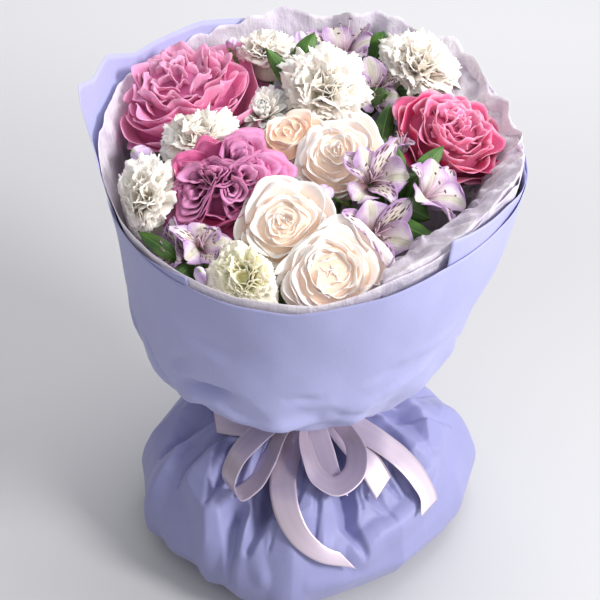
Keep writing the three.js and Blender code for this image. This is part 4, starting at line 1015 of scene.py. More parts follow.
def build_bag(settings):
    """The bag: its skin, and a flat bottom drawn in from the skin's foot to the middle."""
    # the bag is the cup's paper, painted darker and bluer as shade
    shaded_bag_colour = tuple(share * c for share, c in zip(BAG_SHADE_FACTORS, settings.paper_colour))
    material = paper_material("lilac_bag_paper", shaded_bag_colour, 0.5)
    surface = bag_skin()
    foot = surface[:, :1]
    bottom = [foot * [share, share, 0.0] + [0.0, 0.0, FLOOR_GAP] for share in (0.0, 0.35, 0.7, 0.9, 0.97)]
    bag = sheets("paper_bag", np.concatenate([*bottom, surface], axis=1)[None], material,
                 settings.paper_thickness / MM, closed=True)
    place_piece(bag, "lilac_paper", "paper_skirt")


# ------------------------------------------------------------------ tie and ribbon


def build_twine(settings):
    """The tie: turns of twine, one above another, as one ring whose radius follows a rectified sine."""
    v = np.linspace(0, 1, 61)[None, :]
    r = TWINE_R + TWINE_RIDGE * np.abs(np.sin(TWINE_TURNS * pi * v)) ** 0.6
    wound = round_axis(r, ring_angles(96, -pi), TWINE_FOOT + TWINE_RISE * v)
    piece = sheets("binding_twine_wound", wound[None], twine_material(), TWINE_THICKNESS, closed=True)
    place_piece(piece, "twine", "binding_twine")


def ribbon(name, stations, material, waves, seed, slant=0.0):
    """A ribbon along smooth curves through its stations: place, direction of its width, share of its width.

    waves is how far its edges ripple. slant shears its far end: each thread's end is shifted along by slant
    times its place across.
    """
    places, ways, widths = (np.array(column, float) for column in zip(*stations))
    steps = path_steps(places)
    at = np.linspace(0, steps[-1], 90)
    middle = curve(steps, places, at)
    way = unit(curve(steps, unit(ways), at))
    width = curve(steps, widths, at)[:, None]
    u = np.linspace(-1, 1, 11)[:, None, None]
    along = unit(np.gradient(middle, axis=0))
    facing = unit(np.cross(along, way))
    phase = np.random.default_rng(seed).uniform(0, 6)
    ripple = waves * (np.sin(at / 14.0 + phase) * u[..., 0] + 0.4 * u[..., 0] ** 2)
    surface = middle[None] + u * way[None] * width[None] * RIBBON_WIDTH / 2 + ripple[..., None] * facing[None]
    surface = surface + (slant * u[..., 0] * (at / at[-1]) ** 6)[..., None] * along[None]
    piece = sheets(name, surface[None], material, RIBBON_THICKNESS)
    place_piece(piece, "satin_ribbon", "ribbon_bow")


def on_bag(skin, x, y, lift):
    """The highest point of the bag's skin within 7 mm of (x, y), raised by lift."""
    near = np.hypot(skin[..., 0] - x, skin[..., 1] - y) < 7.0
    return (x, y, float(skin[..., 2][near].max()) + lift)


def build_band(material):
    """The ribbon's gathered band round the waist: a ring whose radius waves with height and angle."""
    angle = ring_angles(160, -pi)
    height = np.linspace(*BAND_HEIGHTS, 13)[None, :]
    gather = 0.35 * np.sin(height * 2.4 + 0.6 * np.sin(3 * angle)) + 0.2 * np.sin(40 * angle)
    surface = round_axis(BAND_R + gather, angle, height)
    band = sheets("ribbon_waist", surface[None], material, RIBBON_THICKNESS, closed=True)
    place_piece(band, "satin_ribbon", "ribbon_band")


def build_knot(material):
    """The knot: an ellipsoid that lies along X, creased by waves round it."""
    u, v = ring_angles(48), np.linspace(0.02, pi - 0.02, 30)[None, :]
    crease = 1 + 0.05 * np.sin(7 * u) * np.sin(v) + 0.03 * np.sin(13 * u + 2 * v)
    r = np.sin(v) * crease
    ball = np.stack(np.broadcast_arrays(np.cos(v), r * np.cos(u), r * np.sin(u)), -1)
    piece = sheets("ribbon_knot", (ball * KNOT_HALF + KNOT_AT)[None], material, RIBBON_THICKNESS, closed=True)
    place_piece(piece, "satin_ribbon", "ribbon_bow")


def build_ribbon(settings):
    """Band, knot, two loops that stand free, and five tails that lie on the bag and face out and up."""
    material = satin_material()
    build_band(material)
    build_knot(material)
    for seed, (name, stations) in enumerate(LOOPS.items(), 1):
        ribbon(name, stations, material, 0.3, seed)
    skin = bag_skin(200, 66)
    for seed, (name, (stations, slant)) in enumerate(TAILS.items(), 3):
        places = np.array([on_bag(skin, x, y, lift - 1.5) for x, y, lift, _ in stations])
        places[1:-1] = 0.25 * places[:-2] + 0.5 * places[1:-1] + 0.25 * places[2:] + [0, 0, 1.0]
        x, y, _ = places.T
        out = unit(np.stack([x, y, 0.9 * np.hypot(x, y)], -1))
        ways = unit(np.cross(np.gradient(places, axis=0), out))
        ribbon(name, list(zip(places, ways, (share for *_, share in stations))), material, 0.5, seed, slant)


# ------------------------------------------------------------------ heads keep to their own room


class Head:
    """A bloom's own frame, with z the way it faces, and the planes between it and its neighbours."""

    def __init__(self, name):
        at, self.radius, *lean = HEADS[name]
        self.middle = np.array(at, float)
        tilt, azimuth = np.radians(lean)
        self.axis = np.array([np.sin(tilt) * np.cos(azimuth), np.sin(tilt) * np.sin(azimuth), np.cos(tilt)])
        self.side = unit(np.cross([0, 1, 0], self.axis))
        self.other = np.cross(self.axis, self.side)
        self.planes = []
        for key, (their, radius, _, _) in HEADS.items():
            gap = np.array(their, float) - self.middle
            d = float(np.linalg.norm(gap))
            if key == name or d > 1.25 * (radius + self.radius):
                continue
            halfway = (d * d + self.radius ** 2 - radius ** 2) / (2 * d)
            limit = halfway * 1.05 + PUSH.get(name, 0) - PUSH.get(key, 0)
            self.planes.append((gap / d, max(limit, 0.3 * self.radius)))
        turn = np.linspace(0, 2 * pi, 48)[:, None]
        around = self.room(np.cos(turn) * self.side + np.sin(turn) * self.other)
        self.most = min(1.0, 1.12 * float(around.mean()))

    def raw(self, points):
        """Points of the bloom's own frame, in millimetres of the bouquet's."""
        return self.middle + points @ np.stack([self.side, self.other, self.axis])

    def room(self, way):
        """The share of the radius that there is room for in each direction.

        It is a soft least of the distances to all the planes and 1.15 radii, as one over the sixth root of
        the sum of their inverse sixth powers, so that a crowded bloom's outline has round corners.
        """
        crowd = (1 / (1.15 * self.radius)) ** 6
        for across, limit in self.planes:
            crowd = crowd + (np.maximum(way @ across, 0) / limit) ** 6
        return np.minimum(crowd ** (-1 / 6) / self.radius, 1.0)

    def place(self, points):
        """As raw, but shortened outwards from the middle where neighbours or the cup's wall are close."""
        offset = self.raw(points) - self.middle
        reach = np.linalg.norm(offset, axis=-1)
        room = np.minimum(self.room(offset / np.maximum(reach, 1e-6)[..., None]), self.most)
        share = np.clip(reach / self.radius, 0, 1.3)
        points = self.middle + offset * (1 - (1 - room) * share ** 0.6)[..., None]
        axis = points * [0.0, 0.0, 1.0] + [CUP_X, 0.0, 0.0]
        r = np.linalg.norm(points - axis, axis=-1)
        wall = wall_radius(points[..., 2]) - WALL_ROOM
        return axis + (points - axis) * (press(r, wall, 0.9) / np.maximum(r, 1e-6))[..., None]


# ------------------------------------------------------------------ roses


def petal_grid(count, nu, nv):
    """Many petals: each one's number and share of the count, the places across -1 to 1, the shares along."""
    k = np.arange(count)[:, None, None]
    u = np.linspace(-1, 1, nu)[None, :, None]
    v = np.linspace(0, 1, nv)[None, None, :]
    return k, (k + 0.5) / count, u, v


def rose_layers(R, rows, wave, rng):
    """Rows of petals, each a part of a cup: out by the sine, up by one minus the cosine, its rim rolled out.

    Like each function that makes petals, it returns their points, their age from the heart at 0 outwards, and
    each one's own tint.
    """
    rows = np.array(rows, float)
    counts = rows[:, 0].astype(int)
    rim, top, roll, half, turn = np.repeat(rows[:, 1:], counts, axis=0).T[:, :, None, None]
    place = np.concatenate([np.arange(n) / n for n in counts])[:, None, None]
    shape = place.shape
    _, _, u, v = petal_grid(1, 23, 12)
    phase, second = rng.uniform(0, 2 * pi, shape), rng.uniform(0, 2 * pi, shape)
    rim = 0.92 * rim * (1 + 0.055 * rng.normal(size=shape))
    top = top + 0.03 * rng.normal(size=shape)
    ragged = 0.035 * np.cos(2.6 * u + phase) + 0.014 * np.sin(7 * u + second)
    s = v * (1 - (0.09 + 0.05 * rim + 0.10 * np.clip(0.8 - half, 0, 1)) * u * u + ragged)
    arc = np.clip(s, 0, 1.15) * pi / 2
    r = 0.05 + (rim - 0.05) * np.sin(arc) ** (0.5 + 0.5 * np.clip(rim, 0, 1))
    low = -0.62 + 0.36 * (1 - rim)
    z = low + (top - low) * (1 - np.cos(arc)) ** 0.85
    rolled = np.clip((s - 0.6) / 0.4, 0, 1.2)
    lobed = 1 + 0.6 * np.sin(2.2 * u + second)
    r = r + roll * rolled ** 2 * lobed
    z = z - 0.7 * roll * rolled ** 3 * lobed
    bow = 0.09 * rng.normal(size=shape)
    r = r * (1 + (0.07 * u + bow * (u * u - 0.3)) * s)
    ruffle = wave * s ** 3 * (0.55 + rim)
    r = r + ruffle * (np.sin(3.4 * u + phase) + 0.5 * np.sin(7 * u + 1.3 * second))
    z = z + 0.6 * ruffle * (np.sin(5 * u + 1.7 * phase) + 0.3 * np.sin(9 * u + second))
    angle = turn + 2 * pi * place + 0.16 * rng.normal(size=shape) + u * half * (0.4 + 0.6 * np.sqrt(s))
    return round_axis(R * r, angle, R * z), np.clip(rim, 0, 1), rng.uniform(0, 1, shape)


def rose_ruffles(R, count, reach, top, width, rng):
    """A full heart: short upright petals by the golden angle under a shallow dome, each bent and wavy."""
    k, t, u, v = petal_grid(count, 17, 9)
    shape = k.shape
    phase, second = rng.uniform(0, 2 * pi, shape), rng.uniform(0, 2 * pi, shape)
    ring = reach * (0.04 + 0.96 * t ** 0.58) * (1 + 0.06 * rng.normal(size=shape))
    wide = width * (0.12 + 0.10 * t) * (1 + 0.18 * rng.normal(size=shape))
    s = v * (1 - 0.24 * u * u + 0.03 * np.sin(3.4 * u + phase) + 0.012 * np.sin(9 * u + second))
    bend = (0.03 + 0.03 * t) * np.sin(2.5 * u + phase) + 0.012 * np.sin(6.5 * u + second)
    cupped = (0.10 * rng.normal(size=shape) + 0.06) * (u * u - 0.3)
    height = top * (1 - 0.6 * (ring / reach) ** 2) + 0.03 * rng.normal(size=shape)
    lean = (0.02 + 0.15 * t) * s ** 2.5 - 0.10 * (1 - t) * s ** 2
    rolled = np.clip((s - 0.72) / 0.28, 0, 1.2) ** 2 * 0.05
    r = ring * (0.62 + 0.38 * s ** 0.6) + (bend + cupped) * s ** 0.8 + lean + rolled
    z = -0.4 + (height + 0.4) * s ** 0.9 - 0.25 * np.maximum(lean, 0) * s - 0.8 * rolled
    side = wide * u * (0.5 + 0.5 * np.sqrt(s))
    turn = k * GOLDEN + 0.25 * rng.normal(size=shape)
    return turned(r, side, z, turn) * R, 0.05 + 0.6 * ring, rng.uniform(0, 1, shape)


def rose_quarters(R, quarters, nested, reach, scale, top, rng):
    """The quartered heart: in each sector nested petals bend round the sector's own middle like hairpins.

    One more nest, the last, fills the centre.
    """
    q, j = np.meshgrid(np.arange(quarters + 1), np.arange(nested), indexing="ij")
    q, j = q.ravel(), j.ravel()[:, None, None]
    shape = j.shape
    per = rng.normal(size=(4, quarters + 1))[:, q, None, None]
    q = q[:, None, None]
    centre = q == quarters
    _, _, u, v = petal_grid(1, 23, 10)
    way = q * 2 * pi / quarters + 0.22 * per[0]
    out = np.where(centre, 0.05 * per[1], reach * (1 + 0.16 * per[1]))
    size = (np.where(centre, 0.035, 0.05) + np.where(centre, 0.045, 0.085) * (j + 0.4)) * (1 + 0.14 * per[2])
    phase = rng.uniform(0, 2 * pi, shape)
    bend = way + 0.5 * per[3] + u * 2.3 + 0.3 * rng.normal(size=shape)
    wavy = 1 + 0.20 * np.sin(2.6 * bend + phase) + 0.06 * np.sin(7 * bend + 2 * phase)
    long = 1.0 + 0.35 * np.cos(bend - way) ** 2
    x = out + size * wavy * long * np.cos(bend - way)
    y = size * wavy * np.sin(bend - way)
    sector = pi / quarters * 0.96
    r, side = np.hypot(x, y), np.arctan2(y, x)
    side = np.where(centre, side, sector * np.tanh(side / sector))
    rim = round_axis(r, way + side, 0)[..., :2]
    height = top + 0.03 * per[2] - 0.03 * j + 0.05 * rng.normal(size=shape) - 0.28 * r ** 2
    height = height + 0.045 * np.sin(5 * u + phase) + 0.015 * np.sin(11 * u + 2 * phase)
    spread = 0.42 + 0.58 * v ** 0.7
    rolled = np.clip((v - 0.75) / 0.25, 0, 1) ** 2 * 0.035
    hub = round_axis(out, way, 0)[..., :2]
    flat = (rim * spread[..., None] + unit(rim - hub) * rolled[..., None]) * scale
    z = -0.3 + (height + 0.3) * v ** 0.85 - rolled * 0.9
    points = np.concatenate([flat, np.broadcast_to(z, flat.shape[:3])[..., None]], -1) * R
    return points, 0.05 + 0.3 * r * scale, rng.uniform(0, 1, shape)


def packed_core(R, rows, sink=0.13):
    """The petals too tightly packed to be told apart: a dome a little below the rims of the rows."""
    rims, tops = np.array(rows, float)[:, 1:3].T
    order = np.argsort(rims)
    share = np.linspace(0, 1, 9)
    r = 0.86 * share * rims.max()
    z = np.interp(r, 0.92 * rims[order], tops[order]) - sink - 0.35 * share ** 4
    return round_axis(R * r, ring_angles(40)[None], R * z), 0.4 * share, 0.5


def build_rose(name, material, thickness):
    """A rose's rows of petals, its heart, if it has one of its own, and the packed middle under them."""
    head, style = Head(name), ROSES[name]
    rng = np.random.default_rng(style["seed"])
    R = head.radius * style.get("swell", 1.0)
    parts = {"outer": rose_layers(R, style["rows"], style["wave"], rng)}
    if "ruffles" in style:
        parts["heart"] = rose_ruffles(R, *style["ruffles"], rng)
    if "quarters" in style:
        parts["heart"] = rose_quarters(R, *style["quarters"], rng)
    parts["packed"] = packed_core(R, style.get("core", style["rows"]))
    for part, (points, age, own) in parts.items():
        packed = part == "packed"
        fade = style.get("outer_deep", style["deep"]) if part == "outer" else style["deep"]
        # painted shade: the packed middle is wholly in the colour of the depths, as shade under the rows, and
        # the petals' deep parts as shade between them
        deep = 1.0 if packed else 1 - smooth(np.linspace(0, 1, points.shape[2]), *fade)
        inwards = (1 - np.broadcast_to(age, points.shape[:3]))[..., None]
        points = points + R * np.array(style.get("shift", (0, 0, 0))) * inwards
        piece = sheets(f"{name}_{part}_petals", head.place(points), material, thickness, packed,
                       {"age": age, "own": own, "deep": deep})
        place_piece(piece, style["slot"], name + "_petals")


def build_roses(settings):
    """All the roses, with one material for each look."""
    chosen = {"pink_lilac_rose": settings.pink, "crimson_rose": settings.crimson}
    looks = dict.fromkeys(style["look"] for style in ROSES.values())
    materials = {look: petal_material(look, chosen.get(look)) for look in looks}
    for name, style in ROSES.items():
        build_rose(name, materials[style["look"]], settings.petal_thickness / MM)


# ------------------------------------------------------------------ carnations and the chrysanthemum


def carnation_petals(R, count, rng):
    """Fans that bend from the neck by ever more, each ruffled across and toothed along its rim."""
    k, t, u, v = petal_grid(count, 25, 10)
    shape = k.shape
    bend = np.maximum(0.25, 2.2 * t ** 0.8 + 0.14 * rng.normal(size=shape))
    length = R * (1.0 + 0.16 * t) * (1 + 0.05 * rng.normal(size=shape))
    teeth = 0.03 * fold(5.0 * u + rng.uniform(0, 1, shape))
    s = v * (1 - 0.08 * u * u + teeth * v ** 5)
    facing = bend * s
    r = length / bend * (1 - np.cos(facing)) + 0.04 * R
    z = length / bend * np.sin(facing) - 0.42 * R
    phase = rng.uniform(0, 2 * pi, shape)
    freq = rng.uniform(3.6, 6.2, shape)
    ruffle = R * s ** 1.5 * (0.105 * np.sin(freq * u + phase) + 0.03 * np.sin(2.3 * freq * u + 2 * phase))
    wide = R * (0.05 + (0.38 + 0.28 * t) * s ** 1.2) * u
    turn = k * GOLDEN + 0.1 * rng.normal(size=shape)
    points = turned(r - ruffle * np.cos(facing), wide, z + ruffle * np.sin(facing), turn)
    return points, t, rng.uniform(0, 1, shape)


def build_carnations(settings):
    """The carnations' petals, each bloom over a packed middle."""
    white, cream = petal_material("white_carnation"), petal_material("cream_carnation")
    thickness = 0.75 * settings.petal_thickness / MM
    for i, name in enumerate(n for n in HEADS if n.startswith("carnation")):
        head = Head(name)
        R = head.radius * 1.1
        material = cream if name == "carnation_cream" else white
        bloom = carnation_petals(R, CARNATION_PETALS, np.random.default_rng(60 + i))
        core = packed_core(0.72 * R, [(1, 1.05, -0.40), (1, 0.7, 0.10), (1, 0.1, 0.32)], 0.0)
        # painted shade: the deep parts of the petals and the packed middle take the colour of the depths
        fading = 1 - smooth(np.linspace(0, 1, bloom[0].shape[2]), 0.4, 0.85)
        for part, (points, age, own), deep in (("bloom", bloom, fading), ("packed", core, 0.8)):
            piece = sheets(f"{name}_{part}", head.place(points), material, thickness, part == "packed",
                           {"age": age, "own": own, "deep": deep})
            place_piece(piece, "cream_petal", name + "_petals")


def build_chrysanthemum(settings):
    """Rounded straps over a dome, the inner ones curved in and the outer ones out."""
    name = "chrysanthemum"
    head = Head(name)
    R = head.radius * 1.2
    rng = np.random.default_rng(80)
    k, t, u, v = petal_grid(CHRYSANTHEMUM_PETALS, 9, 11)
    lean = 0.15 + 1.45 * t ** 0.6 + 0.08 * rng.normal(size=k.shape)
    length = R * (0.55 + 0.45 * t)
    curl = 0.9 - 1.3 * t
    arc = lean - curl * v * 0.6
    r = 0.1 * R * np.sqrt(t) + length * v * np.sin(arc)
    z = -0.35 * R + 0.12 * R * (1 - t) + length * v * np.cos(arc) + 0.1 * R * np.sin(pi * v)
    wide = R * 0.12 * np.sin(pi * (0.12 + 0.8 * v)) ** 0.6 * u
    cupped = R * 0.05 * u * u
    points = turned(r - cupped * np.cos(arc), wide, z + cupped * np.sin(arc), k * GOLDEN)
    # painted shade: the petals' lower parts take the colour of the depths
    values = {"age": t, "own": rng.uniform(0, 1, k.shape), "deep": 1 - smooth(v, 0.2, 0.7)}
    piece = sheets(name + "_bloom", head.place(points), petal_material("white_chrysanthemum"),
                   settings.petal_thickness / MM, values=values)
    place_piece(piece, "cream_petal", name + "_petals")


# ------------------------------------------------------------------ alstroemerias


def alstroemeria_tepals(R, rng):
    """Six tepals in a funnel: three broad outer ones, and three narrower inner ones that reach further.

    Each is twisted about its own length, bends back at its tip by its own share, and has a wavy rim.
    """
    k, _, u, v = petal_grid(6, 17, 21)
    shape = k.shape
    inner = (k % 2).astype(float)
    s = v * (1 - (0.24 - 0.06 * inner) * u * u + 0.03 * np.sin(6 * u + rng.uniform(0, 6, shape)))
    phase = rng.uniform(0, 2 * pi, shape)
    reach = 0.98 + 0.12 * inner + 0.10 * rng.normal(size=shape)
    opening = 1.25 + 0.3 * rng.normal(size=shape)
    out = 0.05 + reach * s ** opening
    z = -0.82 * (1 - s) ** 1.4 + (0.12 - 0.05 * inner) * np.sin(pi * s)
    z = z - (0.10 + 0.22 * rng.uniform(0, 1, shape)) * s ** 4 + 0.08 * inner * np.minimum(3 * s, 1)
    broad = (0.48 - 0.16 * inner) * (0.16 + 0.84 * np.sin(pi * v ** 1.35 * 0.93) ** 0.75)
    edge = 0.075 * u * u * s * np.sin(8 * v + phase + 2 * np.sign(u))
    edge = edge + 0.02 * u ** 4 * np.sin(21 * v + 2 * phase)
    channel = -0.13 * (1 - np.abs(u)) * np.sin(pi * s) ** 0.8 * (0.5 + inner * 0.6)
    twist = 0.45 * rng.normal(size=shape) * s
    z = z + edge + channel + broad * u * np.sin(twist)
    turn = k * pi / 3 + 0.16 * rng.normal(size=shape)
    return turned(out, broad * u * np.cos(twist), z, turn) * R, inner


def stamens(head, rng):
    """Six thin filaments that rise out of the funnel in an uneven bundle, and a small oval anther on each."""
    R = head.radius
    t, s = np.linspace(0, 1, 12), np.linspace(-1, 1, 9)
    rods, tips = [], []
    for k in range(6):
        turn = k * pi / 3 + rng.uniform(-0.5, 0.5)
        reach = R * rng.uniform(0.2, 0.5)
        path = head.place(round_axis(reach * t ** 2, turn, R * (-0.8 + (0.95 + 0.1 * rng.normal()) * t)))
        rods.append(tube(path, 0.35, 6))
        across = unit(np.cross(unit(path[-1] - path[-2]), rng.normal(size=3)))
        oval = 0.75 * np.sqrt(np.clip(1.02 - s ** 2, 0, 1))
        tips.append(tube(path[-1] + across * (1.6 * s)[:, None], oval, 8))
    return rods, tips


def build_buds(material):
    """The closed buds: twisted ovals, a little drawn in along three seams."""
    angle, v = ring_angles(42), np.linspace(0, 1, 26)[None, :]
    turn = angle + 0.9 * v
    seam = hill(turn * 3 / (2 * pi) % 1, 0.5, 0.09)
    profile = np.sin(pi * v ** 0.85) ** 0.62 * 0.8 * (1 - 0.14 * seam + 0.05 * np.cos(3 * turn))
    for name in (n for n in HEADS if "_bud_" in n):
        head = Head(name)
        R = head.radius
        surface = head.place(round_axis(R * profile, angle, R * (-1.0 + 2.1 * v)))
        values = {"seam": seam * smooth(v, 0.1, 0.4)}
        piece = sheets(name + "_closed", surface[None], material, 0.0, closed=True, values=values, levels=1)
        place_piece(piece, "lilac_tepal", name)


def build_alstroemerias(settings):
    """The sprays: their flowers with filaments and anthers, their buds, and their stalks and leaves."""
    tepal, bud, stalk = tepal_material(), bud_material(), stem_material()
    leaf = leaf_material("alstroemeria_leaf", linear(38, 74, 26), linear(84, 126, 46), 0.5)
    filament = petal_material("filament")
    anther = leaf_material("anther", linear(92, 78, 74), linear(126, 112, 96), 0.2)
    for i, name in enumerate(n for n in HEADS if "_flower_" in n):
        head = Head(name)
        rng = np.random.default_rng(100 + i)
        points, inner = alstroemeria_tepals(head.radius * 1.08, rng)
        surface = head.place(points)
        piece = sheets(name + "_tepals", surface, tepal, TEPAL_THICKNESS, values={"inner": inner}, levels=1)
        place_piece(piece, "lilac_tepal", name)
        rods, tips = stamens(head, rng)
        place_piece(capped_tubes(name + "_filaments", rods, filament), "lilac_tepal")
        place_piece(capped_tubes(name + "_anthers", tips, anther), "lilac_tepal")
    build_buds(bud)
    for spray, fork in FORKS.items():
        build_spray_green(spray, np.array(fork, float), leaf, stalk)


def leaf_blade(fork, by, tip, width):
    """A pointed leaf along a smooth midrib, its width by a sine and its sides lifted and waved."""
    v = np.linspace(0, 1, 30)
    line = curve([0, 0.5, 1], np.array([fork - 2 * UP, by, tip], float), v)
    along = unit(np.gradient(line, axis=0))
    across = unit(np.cross(along, [0, -0.8, 0.6]))
    u = np.linspace(-1, 1, 11)[:, None]
    broad = 0.14 + 0.95 * np.clip(np.sin(pi * v ** 1.7), 0, 1)
    half = width / 2 * broad * (1 - smooth(v, 0.93, 1.0)) + 0.15
    lift = width * u * u * (0.13 + 0.05 * np.sin(9 * v))
    return line + (u * half)[..., None] * across + lift[..., None] * np.cross(along, across)


def build_spray_green(spray, fork, leaf, stalk):
    """An alstroemeria's stem up to its fork, a stalk to each flower and bud, and its leaves."""
    t = np.linspace(0, 1, 40)
    rings = [stem_tube(spray + "_green", fork, UP, 2.0)]
    for name in (n for n in HEADS if n.startswith((spray + "_flower", spray + "_bud"))):
        head = Head(name)
        low = -0.92 * head.radius if "_flower_" in name else -head.radius
        foot = head.place(np.array([[0, 0, low + 1.0]]))[0]
        middle = fork + (foot - fork) * 0.55 - 5 * head.axis
        path = curve([0, 0.5, 1], np.array([fork - 4 * UP, middle, foot]), t)
        rings.append(tube(path, 1.25 + 0.9 * t ** 14, 10))
    place_piece(capped_tubes(spray + "_stalks", rings, stalk), "green_stem", spray + "_green")
    blades = np.stack([leaf_blade(fork, *blade) for blade in LEAVES[spray]])
    piece = sheets(spray + "_leaves", blades, leaf, LEAF_THICKNESS, levels=1)
    place_piece(piece, "green_stem", spray + "_green")


# ------------------------------------------------------------------ stems


def stem_route(node):
    """Middles of the rings of a frame's stem: the mean of its corners at each height where it has a ring."""
    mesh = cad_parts[node].data
    points = np.empty(len(mesh.vertices) * 3)
    mesh.vertices.foreach_get("co", points)
    matrix = np.array(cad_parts[node].matrix_world)
    points = (points.reshape(-1, 3) @ matrix[:3, :3].T + matrix[:3, 3]) / MM
    route = []
    for height in STEM_RINGS:
        ring = np.unique(np.round(points[np.abs(points[:, 2] - height) < 0.02], 3), axis=0)
        if len(ring) >= 3:
            route.append(ring.mean(0))
    return route


def stem_tube(node, top, facing, radius):
    """A smooth stem through the frame's own route, up to a top that it meets along facing."""
    route = np.array([*stem_route(node), top - 9 * facing, top])
    steps = path_steps(route)
    return tube(curve(steps, route, np.linspace(0, steps[-1], 60)), radius, 10)


def build_stems(settings):
    """Each rose, carnation and chrysanthemum stem, with its calyx: five sepals on a rose, else a tube."""
    green = stem_material()
    calyx = leaf_material("calyx", linear(78, 108, 52), linear(140, 164, 96), 0.3)
    angle, v = ring_angles(40), np.linspace(0, 1, 24)[None, :]
    for name in (n for n in HEADS if "alstroemeria" not in n):
        kind = name.split("_")[0]
        head = Head(name)
        R = head.radius
        neck = -NECKS[kind] * R
        if kind == "rose":
            below, radius = 10, 2.2
            sepals = smooth(v, 0.5, 1.0) * (0.1 * R + 0.3 * R * np.abs(np.cos(2.5 * angle)) ** 1.5)
            r = 2.4 + (0.17 * R - 2.4) * smooth(v, 0.0, 0.45) + sepals
            z = neck - 12 + 11 * v - 1.5 * smooth(v, 0.7, 1.0)
        else:
            below, radius = 18, 1.8
            teeth = 0.03 * R * smooth(v, 0.85, 1.0) * np.cos(5 * angle)
            r = 1.9 + (0.19 * R - 1.9) * smooth(v, 0.0, 0.5) + teeth
            z = neck - 20 + 20 * v
        foot = head.raw(np.array([0, 0, neck - below]))
        rings = stem_tube(name + "_stem", foot, head.axis, radius)
        place_piece(capped_tubes(name + "_green_stem", [rings], green), "green_stem", name + "_stem")
        surface = head.place(round_axis(r, angle, z))
        cup = sheets(name + "_calyx", surface[None], calyx, LEAF_THICKNESS, closed=True)
        place_piece(cup, "green_stem", name + "_stem")


# ------------------------------------------------------------------ stage


def add_camera():
    """The camera, turned down and rolled about the way it looks."""
    scene = bpy.context.scene
    down, roll = radians(CAMERA_DOWN), radians(CAMERA_ROLL)
    forward = Vector((0, np.cos(down), -np.sin(down)))
    right = Vector((1, 0, 0))
    above = right.cross(forward)
    x = right * np.cos(roll) + above * np.sin(roll)
    y = above * np.cos(roll) - right * np.sin(roll)
    camera = bpy.data.objects.new("camera", bpy.data.cameras.new("camera"))
    camera.data.lens, camera.data.sensor_width = CAMERA_LENS, 36.0
    camera.data.clip_start, camera.data.clip_end = 0.01, 50.0
    turn = Matrix((x, y, -forward)).transposed().to_4x4()
    camera.matrix_world = Matrix.Translation(Vector(CAMERA_AT) * MM) @ turn
    scene.collection.objects.link(camera)
    scene.camera = camera


def add_floor():
    """A pale floor that is lighter far away."""
    s = Shader("pale_floor")
    _, far = s.split(s.position())
    # painted light: the floor's colour grows lighter with distance, where the lamps reach it less
    tone = s.mix(s.step(far, 0.3, 1.6), linear(190, 190, 192), linear(238, 238, 240))
    signs = np.array([(-1, -1, 0), (1, -1, 0), (1, 1, 0), (-1, 1, 0)], float)
    material = s.finish(tone, 0.6, Specular_IOR_Level=0.3)
    floor = make_piece("floor", signs * FLOOR_REACH, [[0, 1, 2, 3]], material)


def add_room():
    """A room whose light grows from the left to the bright side, by a smooth step of the direction."""
    world = bpy.data.worlds.new("soft_room")
    world.use_nodes = True
    nodes, links = world.node_tree.nodes, world.node_tree.links
    place = nodes.new("ShaderNodeTexCoord")
    across = nodes.new("ShaderNodeVectorMath")
    across.operation = "DOT_PRODUCT"
    across.inputs[1].default_value = ROOM_BRIGHT_SIDE
    ramp = nodes.new("ShaderNodeMapRange")
    ramp.interpolation_type = "SMOOTHSTEP"
    for key, value in zip(("From Min", "From Max", "To Min", "To Max"), (-0.7, 0.8, *ROOM_STRENGTH)):
        ramp.inputs[key].default_value = value
    sky = nodes["Background"]
    sky.inputs["Color"].default_value = ROOM_COLOUR
    links.new(place.outputs["Generated"], across.inputs[0])
    links.new(across.outputs["Value"], ramp.inputs["Value"])
    links.new(ramp.outputs["Result"], sky.inputs["Strength"])
    bpy.context.scene.world = world


def build_stage(settings):
    """The camera, the floor, lights from the right and above, and a room that is darker at the left."""
    add_camera()
    add_floor()
    for name, (at, towards, size, power, tint) in LIGHTS.items():
        light = bpy.data.objects.new(name, bpy.data.lights.new(name, "AREA"))
        light.data.shape, light.data.size, light.data.energy, light.data.color = "DISK", size, power, tint
        light.location = at
        light.rotation_euler = (Vector(towards) - Vector(at)).to_track_quat("-Z", "Y").to_euler()
        bpy.context.scene.collection.objects.link(light)
    add_room()
    bpy.context.scene.view_settings.view_transform = "Standard"


# ------------------------------------------------------------------ the add-on


def colour_setting(name, text, *display):
    """A colour that a user can choose, with its default given by display values."""
    return bpy.props.FloatVectorProperty(name=name, description=text, subtype="COLOR", size=3, min=0, max=1,
                                         default=linear(*display))


def thickness_setting(name, text, millimetres):
    """A thickness that a user can choose."""
    return bpy.props.FloatProperty(name=name, description=text, subtype="DISTANCE", unit="LENGTH", min=0.0001,
                                   max=0.001, precision=5, default=millimetres * MM)


class BouquetSettings(bpy.types.PropertyGroup):
    """Colours and sizes that a user would change."""

    paper_colour: colour_setting("Paper colour", "Colour of the wrapping paper", 170, 171, 215)
    pink: colour_setting("Large rose", "Colour of the large rose's outer petals", 246, 138, 186)
    crimson: colour_setting("Crimson rose", "Colour of the crimson rose's outer petals", 216, 26, 104)
    paper_thickness: thickness_setting("Paper thickness", "Thickness of the cup's and the bag's paper", 0.35)
    petal_thickness: thickness_setting("Petal thickness", "Thickness of the petals", 0.4)


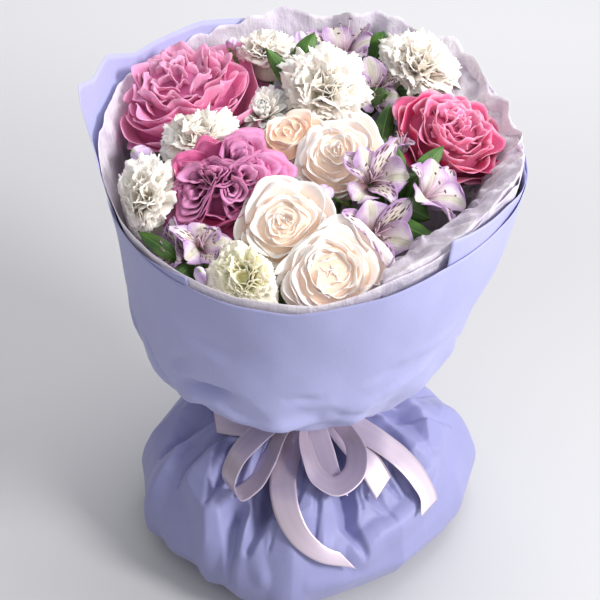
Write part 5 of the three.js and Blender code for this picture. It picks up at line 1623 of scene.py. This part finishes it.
def make_operator(key, label, text, build):
    """An operator class that runs one builder on the scene's settings."""

    def execute(self, context):
        """Run the builder."""
        build(context.scene.bouquet)
        return {"FINISHED"}

    return type("BOUQUET_OT_" + key, (bpy.types.Operator,), {
        "bl_idname": "bouquet." + key, "bl_label": label, "__doc__": text, "execute": execute})


OPERATORS = [
    make_operator("stage", "Stage", "Add the floor, lights and camera", build_stage),
    make_operator("cup", "Paper cup", "Add the two sheets of the paper cup", build_cup),
    make_operator("tissue", "Tissue", "Add the tissue lining", build_tissue),
    make_operator("bag", "Paper bag", "Add the bag that the bouquet stands on", build_bag),
    make_operator("twine", "Twine", "Add the tie round the stems", build_twine),
    make_operator("ribbon", "Ribbon", "Add the ribbon's band, knot, loops and tails", build_ribbon),
    make_operator("roses", "Roses", "Add the roses' petals", build_roses),
    make_operator("carnations", "Carnations", "Add the carnations' petals", build_carnations),
    make_operator("chrysanthemum", "Chrysanthemum", "Add the chrysanthemum's petals", build_chrysanthemum),
    make_operator("alstroemerias", "Alstroemerias", "Add the alstroemeria sprays", build_alstroemerias),
    make_operator("stems", "Stems", "Add the stems and calyxes", build_stems),
]


class BOUQUET_PT_panel(bpy.types.Panel):
    """Lists the bouquet's settings and pieces."""

    bl_label = "Bouquet"
    bl_space_type = "VIEW_3D"
    bl_region_type = "UI"
    bl_category = "Bouquet"

    def draw(self, context):
        """One line for each setting and one button for each operator."""
        for name in BouquetSettings.__annotations__:
            self.layout.prop(context.scene.bouquet, name)
        for operator in OPERATORS:
            self.layout.operator(operator.bl_idname)


CLASSES = [BouquetSettings, *OPERATORS, BOUQUET_PT_panel]


def register():
    """Add the classes, and the settings to the scene."""
    for cls in CLASSES:
        bpy.utils.register_class(cls)
    bpy.types.Scene.bouquet = bpy.props.PointerProperty(type=BouquetSettings)


def unregister():
    """Take the settings and the classes away again."""
    del bpy.types.Scene.bouquet
    for cls in reversed(CLASSES):
        bpy.utils.unregister_class(cls)


def main():
    """Build everything through the operators, and write the box before and after."""
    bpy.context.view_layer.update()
    register()
    for operator in OPERATORS:
        getattr(bpy.ops.bouquet, operator.bl_idname.split(".")[1])()


if __name__ == "__main__":
    main()
